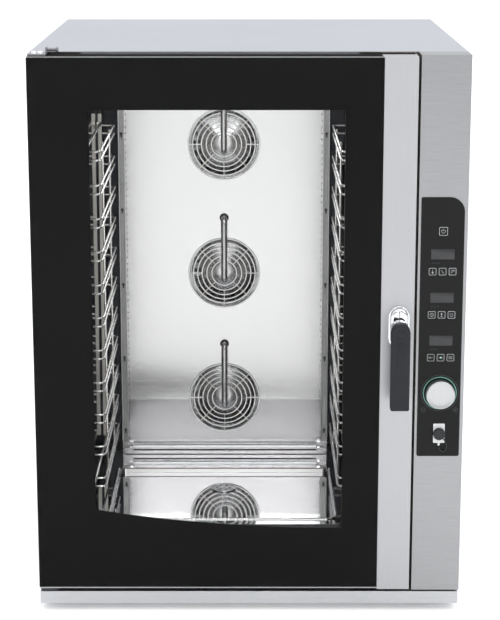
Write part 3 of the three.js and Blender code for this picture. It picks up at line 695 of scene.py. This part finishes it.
def floor_rim():
    """The rolled bright edge round the sunken floor, and a seam and a cover strip along its rear."""
    front, rear = RECESS["front"], RECESS["rear"]
    x0, x1 = CENTRE_X - RECESS["half"], CENTRE_X + RECESS["half"]
    end = rear - 4 * MM
    corners = [(x, y, CHAMBER_FLOOR) for x, y in ((x0, end), (x0, front), (x1, front), (x1, end))]
    route = rounded_path(corners, RECESS["corner"], 8)
    piece("floor_rim", tube(route, 3.4 * MM, 12), WIRE, "cabinet")
    seam = tube([(x0 + 6 * MM, rear, CHAMBER_FLOOR), (x1 - 6 * MM, rear, CHAMBER_FLOOR)], 1.4 * MM, 8)
    low, high = CHAMBER_FLOOR - 9.6 * MM, CHAMBER_FLOOR - 1 * MM
    strip = box(x0 + 9 * MM, x1 - 9 * MM, rear - 1 * MM, rear + 0.5 * MM, low, high)
    piece("floor_rear_strip", strip, GUARD_WIRE, "cabinet", bevel=0.3 * MM)
    piece("floor_seam", seam, HEATER, "cabinet")


def keyhole(x, z):
    """The outline of a keyhole slot: a round top that narrows to a short slot below."""
    half, foot = 1.7 * MM, z - 9 * MM
    return arc(3.4 * MM, -55, 235, x, z, 14) + [(x - half, foot), (x + half, foot)]


def wall_strips():
    """The fixing strips at both edges of the fan wall: keyholes, rolled edges and a row of small holes; black
    backs in the keyholes and black discs for the small holes are painted shade.
    """
    front, rear = BAFFLE_FACE - 2.6 * MM, BAFFLE_FACE - 0.3 * MM
    low, high = BAFFLE[0].z + 30 * MM, BAFFLE[1].z - 18 * MM
    pitch, count = 176 * MM, 5
    dots, dot_pitch, dot_line = 58, 14.5 * MM, 223.6 * MM
    strips, hole_shadows, edges = Shape(), Shape(), Shape()
    for side in (-1, 1):
        inner, outer = CENTRE_X + side * 227.5 * MM, CENTRE_X + side * 240.5 * MM
        middle = (inner + outer) / 2
        holes = [keyhole(middle, high - 122 * MM - k * pitch) for k in range(count)]
        strips.add(punched(rectangle(*sorted((inner, outer)), low, high, 2 * MM, 3), holes, front, rear))
        # Painted shade: black plates behind the keyholes, and further down, black discs for a row of small
        # holes.
        for hole in holes:
            hole_shadows.add(prism([(middle + (x - middle) * 0.97, z) for x, z in hole], rear - 0.6 * MM, rear))
        for k in range(dots):
            dot = circle(CENTRE_X + side * dot_line, low + 8 * MM + k * dot_pitch, 1.5 * MM, 8)
            hole_shadows.add(prism(dot, rear - 0.2 * MM, BAFFLE_FACE))
        for x in (inner, outer):
            edges.add(tube([(x, front, low + 2 * MM), (x, front, high - 2 * MM)], 1.1 * MM, 8))
    piece("wall_strips", strips, STEEL, "cabinet", bevel=0.3 * MM)
    piece("wall_strip_edges", edges, GUARD_WIRE, "cabinet")
    piece("wall_strip_hole_shadows", hole_shadows, PAINTED_SHADE_BLACK, "cabinet")


def wall_foot():
    """The grooved bar along the foot of the fan wall, a black strip below it as painted shadow of the gap
    there, and two hex bolts at each end.
    """
    half, low, high = 216 * MM, 178 * MM, 192.5 * MM
    rear = BAFFLE_FACE - 0.2 * MM
    middle = (low + high) / 2
    lower = [(0, -7.25), (4, -7.25), (6.6, -5.65), (7.6, -1.4), (6.9, -0.5)]
    upper = [(out, -up) for out, up in reversed(lower)]
    section = [(rear - out * MM, middle + up * MM) for out, up in lower + upper]
    bar = loft([[Vector((x, y, z)) for y, z in section] for x in (CENTRE_X - half, CENTRE_X + half)])
    piece("wall_foot_bar", bar, WIRE, "cabinet", bevel=0.4 * MM)
    # Painted shadow: a black box under the bar stands in for the shaded gap.
    under_bar_shadow = box(CENTRE_X - half, CENTRE_X + half, rear - 8.2 * MM, rear, low - 3.6 * MM, low - 0.3 * MM)
    piece("wall_foot_shadow", under_bar_shadow, PAINTED_SHADE_BLACK, "cabinet")
    bolts = Shape()
    head = lathe(in_mm([(6.4, 0), (6.4, -1.4), (5.6, -1.5), (5.4, -5.2), (4.6, -5.9)]), 6)
    for side in (-1, 1):
        for z in (low + 1.5 * MM, high + 6 * MM):
            bolts.add(head, (CENTRE_X + side * 221.5 * MM, rear, z))
    piece("wall_foot_bolts", bolts, WIRE, "cabinet", smooth=25)


# Radii of the guard's rings in millimetres, and the number of blades on the wheel behind it.
GRILLE_RINGS = [81.3, 71.3, 61.5, 51.2, 40.3, 28.6]
BLADES = 18


def fan_unit(place):
    lo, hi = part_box("fan_grille_" + place)
    centre = Vector((CENTRE_X, 0, (lo.z + hi.z) / 2))
    grille(place, centre, lo.y)
    wheel(place, centre)
    pipe(place)
    heater(place, centre)


def grille(place, centre, front):
    wire = 1.6 * MM
    shape = Shape()
    middle = centre + Vector((0, front + wire, 0))
    for radius in GRILLE_RINGS:
        shape.add(ring(radius * MM, wire, 6, 72), middle)
    outer = GRILLE_RINGS[0] * MM
    spokes = [(a, GRILLE_RINGS[5]) for a in (45, 135, 225, 315)]
    spokes += [(a, GRILLE_RINGS[3]) for a in (0, 180)] + [(a, GRILLE_RINGS[4]) for a in (90, 270)]
    for degrees, inner in spokes:
        a = math.radians(degrees)
        out = Vector((math.cos(a), 0, math.sin(a)))
        shape.add(tube([out * inner * MM, out * outer], wire, 6), middle + Vector((0, 0.5 * wire, 0)))
    piece("fan_guard_" + place, shape, GUARD_WIRE, "cabinet", ["fan_grille_" + place])


def wheel(place, centre):
    """The fan wheel: back disc, hub, curved blades and the front ring that ties them."""
    lo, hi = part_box("fan_wheel_" + place)
    radius = (hi.x - lo.x) / 2
    rear, front = hi.y, lo.y
    disc = [(radius, rear), (radius, rear - 1.5 * MM), (radius - 4 * MM, rear - 2 * MM)]
    disc += [(radius - 6 * MM, front + 29 * MM), (25 * MM, front + 9 * MM), (6 * MM, front + 5 * MM)]
    inner = radius - 17 * MM
    tie = [(r, front + out * MM) for r, out in ((radius, 3), (radius, 5), (inner, 7), (inner, 5.4))]
    shape = Shape().add(lathe(disc, 64), centre).add(annulus(tie, 48), centre)
    sweep, thick = 0.28, 0.018
    for start in angles(BLADES):
        curve = [(radius - 3 * MM - t * 24 * MM, start + sweep * t) for t in (0.0, 0.33, 0.66, 1.0)]
        edges = curve + [(r, a + thick) for r, a in reversed(curve)]
        outline = [(r * math.cos(a), r * math.sin(a)) for r, a in edges]
        shape.add(prism(outline, front + 5.2 * MM, rear - 1.2 * MM), centre)
    fan, node = "fan_" + place, "fan_wheel_" + place
    piece("fan_rotor_" + place, shape, WHEEL_STEEL, fan, [node], smooth=30)
    profile = [(21, 4.8), (21, 1.6), (19.6, 0.6), (8, 0.4), (7.4, 1.4), (5, 1.4), (4.6, 0), (1, 0)]
    hub = Shape().add(lathe(in_mm(profile, front), 48), centre)
    piece("fan_hub_" + place, hub, GUARD_WIRE, fan)


def pipe(place):
    """The injection pipe: out of the wall, down in front of the guard and back at the hub."""
    lo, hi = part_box("water_pipe_" + place)
    radius = (hi.x - lo.x) / 2
    top, low = hi.z - radius, lo.z + radius
    front = lo.y + radius
    route = ((hi.y, top), (front, top), (front, low), (front + 26 * MM, low))
    shape = tube(rounded_path([(CENTRE_X, y, z) for y, z in route], 14 * MM, 8), radius, 20)
    piece("injection_pipe_" + place, shape, PIPE_STEEL, "cabinet", ["water_pipe_" + place])
    # Painted shade: a black ring round the pipe where it leaves the wall, for the shaded hole.
    section = [(0.1, 0), (0.3, -5), (1.6, -5.4), (2.6, -3), (2.8, 0)]
    collar = annulus([(radius + out * MM, along * MM) for out, along in section], 32)
    hole_shadow_ring = Shape().add(collar, (CENTRE_X, BAFFLE_FACE - 0.2 * MM, top))
    piece("pipe_hole_shadow_" + place, hole_shadow_ring, PAINTED_SHADE_BLACK, "cabinet")


def heater(place, centre):
    """The heating coil round the wheel, and its two ends, which run to the rear."""
    lo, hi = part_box("heating_element_" + place)
    radius = (hi.x - lo.x) / 2 - 5 * MM
    y = lo.y + 5 * MM
    wire = 4.5 * MM
    shape = Shape().add(ring(radius, wire, 12, 72), (centre.x, y, centre.z))
    z = centre.z - 110 * MM
    for x in (centre.x - 20 * MM, centre.x + 20 * MM):
        shape.add(tube([(x, y, z), (x, hi.y, z)], wire, 12))
    piece("heater_coil_" + place, shape, HEATER, "cabinet", ["heating_element_" + place])


# ---------------------------------------------------------------- tray racks
LEVELS = 11
PITCH = 70 * MM
PAIR_DROP = 18 * MM


def rack(side, name):
    """Eleven pairs of bent wires on posts, hung on the chamber's studs."""
    lo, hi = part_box(name)
    inner, outer = (hi.x, lo.x) if side < 0 else (lo.x, hi.x)
    wire = 2.5 * MM
    line = inner + side * wire
    wall = outer - side * 10 * MM
    near, far = lo.y + wire, hi.y - wire
    first, last = near + 6 * MM, far - 6 * MM
    top = hi.z - 30 * MM
    shape = Shape()
    for level in range(LEVELS):
        for z in (top - level * PITCH, top - level * PITCH - PAIR_DROP):
            points = [(wall, near, z), (line, near, z), (line, far, z), (wall, far, z)]
            shape.add(tube(rounded_path(points, 9 * MM, 5), wire, 8))
    low = lo.z + 3 * MM
    post = line + side * 4 * MM
    for share in (0.29, 0.76):
        y = near + share * (far - near)
        shape.add(tube([(post, y, low + 4 * MM), (post, y, top + 4 * MM)], wire, 10))
    posts = Shape()
    for y in (first, last):
        across = sorted((outer - side * 9 * MM, outer - side * 1 * MM))
        posts.add(box(*across, y - 1.5 * MM, y + 1.5 * MM, low, hi.z - 3 * MM))
    piece(name + "_posts", posts, POST_STEEL, name, bevel=0.5 * MM)
    shape.add(tube([(wall, first, low + 5 * MM), (wall, last, low + 5 * MM)], wire, 8))
    bar = wall + side * 1.5 * MM
    shape.add(tube([(bar, first, hi.z - 22 * MM), (bar, last, hi.z - 22 * MM)], 3 * MM, 8))
    for y in (near + 20 * MM, far - 20 * MM):
        shape.add(box(*sorted((bar, outer)), y - 8 * MM, y + 8 * MM, hi.z - 24.5 * MM, hi.z - 19 * MM))
    piece(name + "_wires", shape, RACK_WIRE, name, [name])


# ---------------------------------------------------------------- door
def door():
    dress("door_frame", DOOR_STEEL, 0.7 * MM, 3)
    outer_glass()
    inner_glass()
    handle()


def window_outline():
    """The clear window: straight sides and top, and the sagging lower edge from right to left."""
    w = WINDOW
    points = [(w["left"], w["top"]), (w["left"], w["low_left"])]
    steps = 28
    for k in range(1, steps + 1):
        t = k / steps
        x = bend(w["left"], SAG_CONTROL[0], w["right"], t)
        z = bend(w["low_left"], SAG_CONTROL[1], w["low_right"], t)
        points.append((x, z))
    points.append((w["right"], w["top"]))
    return points


def outer_glass():
    """The clear pane, and the black print on its rear face round the window."""
    lo, hi = GLASS
    rear = hi.y - ENAMEL_THICK - ENAMEL_GAP
    outline = rectangle(lo.x, hi.x, lo.z, hi.z, 2 * MM, 3)
    pane = prism(outline, lo.y, rear)
    piece("door_pane", pane, PANE, "door", bevel=0.5 * MM)
    border = punched(outline, [window_outline()], rear + ENAMEL_GAP, hi.y)
    piece("door_enamel", border, ENAMEL, "door", ["door_outer_glass"])


def inner_glass():
    lo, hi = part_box("door_inner_glass")
    pane = prism(rectangle(lo.x, hi.x, lo.z, hi.z, 6 * MM, 5), lo.y, hi.y)
    piece("inner_pane", pane, INNER_PANE, "door", ["door_inner_glass"], bevel=0.5 * MM)
    clips = Shape()
    for x in (lo.x + 10 * MM, hi.x - 10 * MM):
        for z in (lo.z + 130 * MM, (lo.z + hi.z) / 2, hi.z - 130 * MM):
            clips.add(box(x - 7 * MM, x + 7 * MM, hi.y, hi.y + 1.2 * MM, z - 14 * MM, z + 14 * MM))
    piece("inner_pane_clips", clips, WIRE, "door", bevel=0.4 * MM)


def handle():
    base_lo, base_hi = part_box("handle_base")
    lever_lo, lever_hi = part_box("handle_lever")
    x, _, z = centre_of("handle_base")
    half = (base_hi.x - base_lo.x) / 2
    tall = (base_hi.z - base_lo.z) / 2
    rear = base_hi.y
    outline = rectangle(x - half, x + half, z - tall, z + tall, half * 0.999, 12)
    plate = crowned(outline, rear - 4.5 * MM, rear, 2 * MM, 4)
    inset = 3.2 * MM
    wide, high = half - inset, tall - inset
    dome = rectangle(x - wide, x + wide, z - high, z + high, wide * 0.999, 12)
    rose = crowned(dome, rear - 13 * MM, rear - 4 * MM, 6.5 * MM, 6)
    stem = in_mm([(19, -6), (18, -13), (15.5, -17), (15, -24)])
    neck = lathe([*stem, (15 * MM, base_lo.y - rear)], 40)
    shape = Shape().add(plate).add(rose).add(neck, (x, rear, z))
    piece("handle_rose", shape, CHROME, "door", ["handle_base"], smooth=50)
    lever(x, z, lever_lo, lever_hi)


def lever(x, z, lo, hi):
    half = (hi.x - lo.x) / 2
    rear = lo.y + 22 * MM
    top, foot = half * 0.999, 4 * MM
    outline = rectangle(x - half, x + half, lo.z, hi.z, [top, top, foot, foot], 12)
    grip = crowned(outline, lo.y + 0.8 * MM, rear, 3 * MM, 4)
    piece("lever_grip", grip, LEVER_PLASTIC, "handle", ["handle_lever"], smooth=50)
    cap = lathe(in_mm([(17, 0.9), (17, 0.4), (16.4, 0), (9.6, 0), (9, 0.5), (8.4, 0)]), 48)
    piece("lever_cap", Shape().add(cap, (x, lo.y, z)), LEVER_PLASTIC, "handle")
    shaft = lathe([(6 * MM, rear - 1 * MM), (6 * MM, hi.y)], 24)
    piece("lever_shaft", Shape().add(shaft, (x, 0, z)), WIRE, "handle")
    dress("latch_hook", WIRE, 0.6 * MM)


# ---------------------------------------------------------------- controls
def controls():
    panel()
    screens()
    for node in KEY_NAMES:
        key(node)
    knob()
    ring_light()
    probe()


ROWS = ("temperature", "time", "steam")
KEY_NAMES = ["on_off_key"] + [f"{row}_key_{column}" for row in ROWS for column in ("left", "middle", "right")]


def centre_of(node):
    lo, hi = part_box(node)
    return (lo + hi) / 2


def key_outline(node, grow=0.0, corner=2.8 * MM):
    lo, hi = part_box(node)
    return rectangle(lo.x - grow, hi.x + grow, lo.z - grow, hi.z + grow, corner + grow, 4)


def screen_places():
    """The outline of each display, over its row of keys."""
    wide, tall, rise = 48 * MM, 22 * MM, 35.5 * MM
    x = centre_of("on_off_key").x
    rows = [centre_of(f"{row}_key_middle").z + rise for row in ROWS]
    return [(x - wide / 2, x + wide / 2, z - tall / 2, z + tall / 2) for z in rows]


def panel():
    lo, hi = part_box("control_panel")
    knob_centre = centre_of("control_knob")
    holes = [key_outline(node, 0.45 * MM) for node in KEY_NAMES]
    holes += [rectangle(*place, 0.6 * MM, 2) for place in screen_places()]
    holes += [circle(knob_centre.x, knob_centre.z, 4 * MM)]
    small, large = 4 * MM, 30 * MM
    outline = rectangle(lo.x, hi.x, lo.z, hi.z, [small, large, small, small], 12)
    plate = punched(outline, holes, lo.y, hi.y)
    piece("panel_face", plate, PANEL_PLASTIC, "cabinet", ["control_panel"], bevel=0.25 * MM)
    print_marks(lo, knob_centre)


def print_marks(lo, knob_centre):
    """Small printed signs: a row under each display, a ring round the knob, and minus and plus below it."""
    y = lo.y
    line = 0.3 * MM
    shape = Shape()
    for x0, _, z0, _ in screen_places():
        for k in range(3):
            x, z = x0 + (4 + 6 * k) * MM, z0 - 7 * MM
            chevron = [(x + dx * MM, y, z + dz * MM) for dx, dz in ((-1.6, -1.2), (0, 1.4), (1.6, -1.2))]
            shape.add(tube(chevron, line, 6))
    for dx in (-1, 1):
        x, z = knob_centre.x + dx * 33 * MM, knob_centre.z - 35.7 * MM
        shape.add(ring(4.3 * MM, line, 6, 28), (x, y, z))
        shape.add(tube([(x - 2 * MM, y, z), (x + 2 * MM, y, z)], line, 6))
        if dx > 0:
            shape.add(tube([(x, y, z - 2 * MM), (x, y, z + 2 * MM)], line, 6))
    shape.add(ring(38 * MM, line, 6, 72), (knob_centre.x, y, knob_centre.z))
    piece("panel_signs", shape, FAINT_MARKS, "cabinet")


def screens():
    lo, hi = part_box("display_board")
    shape = Shape()
    inset = 0.35 * MM
    for x0, x1, z0, z1 in screen_places():
        outline = rectangle(x0 + inset, x1 - inset, z0 + inset, z1 - inset, 0.6 * MM, 3)
        shape.add(crowned(outline, lo.y, hi.y - 2 * MM, 0.3 * MM, 2))
    shape.add(box(lo.x, hi.x, hi.y - 1.6 * MM, hi.y, lo.z, hi.z))
    piece("display_screens", shape, SCREEN, "cabinet", ["display_board"])


# The strokes of each key's sign, in points between -1 and 1.
BAR = [(-0.9, 0), (0.9, 0)]
ICONS = {
    "on_off_key": [arc(0.8, 115, 425, steps=20), [(0, 0.25), (0, 1.0)]],
    "temperature_key_left": [
        [(0, -0.2), (0, 0.95)],
        arc(0.38, 0, 360, 0, -0.55),
        arc(0.16, 0, 360, 0, -0.55),
    ],
    "temperature_key_middle": [[(-0.7, 0.8), (0.1, 0.1), (-0.2, -0.2), (0.7, -0.9)]],
    "temperature_key_right": [
        [(-0.8, -0.8), (0.8, 0.8)],
        arc(0.9, 100, 170, 0.1, -0.1),
        [(0.1, 0.8), (0.8, 0.8), (0.8, 0.1)],
    ],
    "time_key_left": [arc(0.85, 0, 360, steps=20), [(0, 0.5), (0, 0), (0.4, -0.2)]],
    "time_key_middle": [[(0, -0.9), (0, 0.9)], arc(0.3, 0, 360, 0, 0.45), [(-0.5, -0.9), (0.5, -0.9)]],
    "time_key_right": [arc(0.8, 200, 340), [(-0.9, 0.4), (0.9, 0.4)]],
    "steam_key_left": [
        [(-0.9, 0.6), (-0.9, -0.6)],
        [(-0.5, 0), (0.9, 0)],
        [(-0.1, 0.5), (-0.6, 0), (-0.1, -0.5)],
    ],
    "steam_key_middle": [BAR, [(0.3, 0.55), (0.9, 0), (0.3, -0.55)]],
    "steam_key_right": [[(-0.9, 0.5), (0.9, 0.5)], BAR, [(-0.9, -0.5), (0.9, -0.5)]],
}


def key(node):
    """A key cap with its pale frame and a simple sign, all moving together."""
    lo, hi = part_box(node)
    middle = centre_of(node)
    cap = crowned(key_outline(node), lo.y, hi.y, 0.5 * MM, 3)
    piece(node + "_cap", cap, KEY_PLASTIC, node, [node])
    line = 0.32 * MM
    y = lo.y + 0.05 * MM
    signs = Shape()
    border = [(x, y, z) for x, z in key_outline(node, -1.3 * MM)]
    signs.add(tube(border, line * 1.25, 6, closed=True))
    reach = (hi.x - lo.x) * 0.24
    for stroke in ICONS[node]:
        signs.add(tube([(middle.x + x * reach, y, middle.z + z * reach) for x, z in stroke], line, 6))
    piece(node + "_sign", signs, MARKS, node)
    if node == "steam_key_middle":
        # The printed green dot glows: painted light.
        dot = lathe(in_mm([(1.5, 0.3), (1.5, 0), (0.9, -0.25)]), 16)
        piece(node + "_dot", Shape().add(dot, (middle.x, y, middle.z)), GREEN_MARK, node)


def knob():
    lo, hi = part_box("control_knob")
    middle = centre_of("control_knob")
    radius = (hi.x - lo.x) / 2
    front, rear = lo.y, hi.y
    rim = [(0, 2.6), (0.5, 1.2), (1.9, 0.2), (2.8, 0), (3.6, 0.35)]
    profile = [(radius - 1.5 * MM, rear), (radius, rear - 1 * MM)]
    profile += [(radius - inset * MM, front + along * MM) for inset, along in rim]
    profile += [(radius * 0.6, front + 0.7 * MM), (radius * 0.3, front + 0.9 * MM)]
    profile += [(1 * MM, front + 0.95 * MM)]
    body = Shape().add(lathe(profile, 72), (middle.x, 0, middle.z))
    piece("knob_cap", body, KNOB_STEEL, "knob", ["control_knob"], smooth=50)
    shaft = lathe([(3 * MM, front + 4 * MM), (3 * MM, rear + 12 * MM)], 20)
    pin = Shape().add(shaft, (middle.x, 0, middle.z))
    piece("encoder_pin", pin, WIRE, "encoder", ["encoder_shaft"])


def ring_light():
    lo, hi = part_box("light_ring")
    middle = centre_of("light_ring")
    outer = (hi.x - lo.x) / 2
    section = [(outer, hi.y), (outer - 0.3 * MM, lo.y)]
    section += [(outer - 1.2 * MM, lo.y - 0.2 * MM), (outer - 2.2 * MM, hi.y)]
    lens = Shape().add(annulus(section, 96), (middle.x, 0, middle.z))
    piece("ring_lens", lens, RING_LIGHT, "cabinet", ["light_ring"])


def probe():
    """The probe socket and its cap."""
    lo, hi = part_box("probe_socket")
    x = (lo.x + hi.x) / 2
    cap_lo, cap_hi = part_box("probe_cap")
    z = cap_hi.z - 12 * MM
    socket_plate(x, z, lo, hi)
    stopper(x, z, cap_lo.y)
    tether(x, z)


def socket_plate(x, z, lo, hi):
    """The white plate, the collar round its hole, and the tongue below that holds the strap."""
    hole = circle(x, z, 6 * MM)
    plate = punched(rectangle(lo.x, hi.x, hi.z - 41 * MM, hi.z, 1.5 * MM, 3), [hole], lo.y, lo.y + 1.8 * MM)
    outer, inner, front = 9 * MM, 5.6 * MM, lo.y + 1.2 * MM
    collar = annulus([(outer, front), (outer, hi.y), (inner, hi.y), (inner, front)], 32)
    tongue = rectangle(x - 2.2 * MM, x + 2.2 * MM, lo.z, hi.z - 40 * MM, 2 * MM, 4)
    shape = Shape().add(plate).add(collar, (x, 0, z))
    shape.add(crowned(tongue, lo.y, lo.y + 1.6 * MM, 0.5 * MM, 2))
    piece("socket_plate", shape, SOCKET_PLATE, "cabinet", ["probe_socket"], bevel=0.3 * MM)


def stopper(x, z, front):
    """The rubber cap, with ribs round its grip."""
    plug = [(5, 20), (5, 10.4)]
    grip = [(11.4, 10.2), (12, 9.4), (12, 2.6), (11, 0.9), (9, 0), (7.6, 0), (7, 0.7), (1, 0.7)]
    cap = Shape().add(lathe(in_mm(plug + grip, front), 48), (x, 0, z))
    ribs, reach = 20, 11.9 * MM
    for a in angles(ribs):
        c, s = reach * math.cos(a), reach * math.sin(a)
        cap.add(tube([(x + c, front + 3 * MM, z + s), (x + c, front + 9 * MM, z + s)], 0.7 * MM, 6))
    piece("probe_stopper", cap, RUBBER, "probe_cap", ["probe_cap"])


def tether(x, z):
    """The strap from the cap to the tongue of the plate."""
    strap = [(7, -9, -7), (13, -8, -17), (15.5, -6.5, -28), (11, -6, -38), (4, -6, -36.5), (0.6, -6, -29)]
    route = smooth_route([Vector((x + a * MM, depth(b), z + c * MM)) for a, b, c in strap], 6)
    made = piece("probe_strap", tube(route, 1.3 * MM, 10), RUBBER, None)
    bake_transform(made)


def smooth_route(points, steps):
    """A Catmull-Rom curve through the points."""
    made = []
    padded = [points[0] * 2 - points[1], *points, points[-1] * 2 - points[-2]]
    for a, b, c, d in zip(padded, padded[1:], padded[2:], padded[3:]):
        for k in range(steps):
            t = k / steps
            square, cube = 2 * a - 5 * b + 4 * c - d, 3 * b - a - 3 * c + d
            made.append(0.5 * (2 * b + (c - a) * t + square * t * t + cube * t ** 3))
    return made + [points[-1]]


# ---------------------------------------------------------------- studio
def floor():
    """A wide pale floor, which gives off a little light."""
    mesh = bpy.data.meshes.new("studio_floor")
    size, low = 30.0, -0.6 * MM
    corners = [(x * size, y * size, low) for x, y in ((-1, -1), (1, -1), (1, 1), (-1, 1))]
    mesh.from_pydata(corners, [], [(0, 1, 2, 3)])
    made = new_object("studio_floor", mesh)
    pale = Nodes("floor_paper", Roughness=0.9, Specular_IOR_Level=0.0, Emission_Strength=0.2)
    pale.shader.inputs["Emission Color"].default_value = (1.0, 1.0, 1.0, 1.0)
    pale.colour(pale.ramp(pale.noise(size=4, detail=3), 0.9, 0.93))
    mesh.materials.append(pale.mat)


def world():
    """A soft studio: bright overhead, white behind the object and darker behind the camera."""
    scene_world = bpy.data.worlds.new("studio")
    bpy.context.scene.world = scene_world
    scene_world.use_nodes = True
    sky = Tree(scene_world.node_tree)
    direction = sky.node("SeparateXYZ", Vector=sky.node("TexCoord").outputs["Generated"]).outputs
    around = sky.map_range(direction["Y"], -1.0, 1.0, (0.3, 0.31, 0.33), (0.9, 0.915, 0.95), 0.05, 0.6)
    overhead = sky.map_range(direction["Z"], 0.0, 1.0, (0.0, 0.0, 0.0), (0.95, 0.96, 0.98), 0.35)
    sky.link(sky.combine(around, overhead, "ADD"), sky.tree.nodes["Background"].inputs["Color"])


def area_light(name, place, target, width, height, watts):
    data = bpy.data.lights.new(name, "AREA")
    data.shape = "RECTANGLE"
    data.size, data.size_y = width, height
    data.energy = watts
    lamp = new_object(name, data)
    lamp.location = place
    lamp.rotation_euler = (Vector(target) - Vector(place)).to_track_quat("-Z", "Y").to_euler()


def lights():
    """Two large lamps, one aimed so that the chamber's mirror floor looks bright, and a faint one inside."""
    middle = (0, -0.2, 0.6)
    area_light("key", (3.0, -3.0, 3.4), middle, 3.5, 3.5, 50)
    area_light("fill", (-3.4, -2.6, 2.2), middle, 3.5, 3.5, 22)
    area_light("front", (CENTRE_X, -4.9, 2.3), (CENTRE_X, 0, 0.4), 2.4, 1.0, 26)
    area_light("oven_lamp", (CENTRE_X, depth(95), 1.062), (CENTRE_X, depth(560), 0.45), 0.44, 0.03, 0.5)


# Fitted to the photo: lens and sensor in millimetres, downward pitch in degrees, and the shift as a
# share of the frame's longer side.
LENS, SENSOR, PITCH_DOWN, SHIFT = 102.7, 36.0, 12.2, -0.098
CAMERA_PLACE = (2 * MM, -3.8455, 1.522)


def camera():
    data = bpy.data.cameras.new("camera")
    data.lens = LENS
    data.sensor_width = SENSOR
    data.shift_y = SHIFT
    data.clip_end = 100
    made = new_object("camera", data)
    made.location = CAMERA_PLACE
    made.rotation_euler = (math.radians(90 - PITCH_DOWN), 0, 0)
    bpy.context.scene.camera = made


bpy.context.scene.view_settings.view_transform = "Standard"
camera()
world()
lights()
floor()
cabinet()
chamber()
door()
controls()
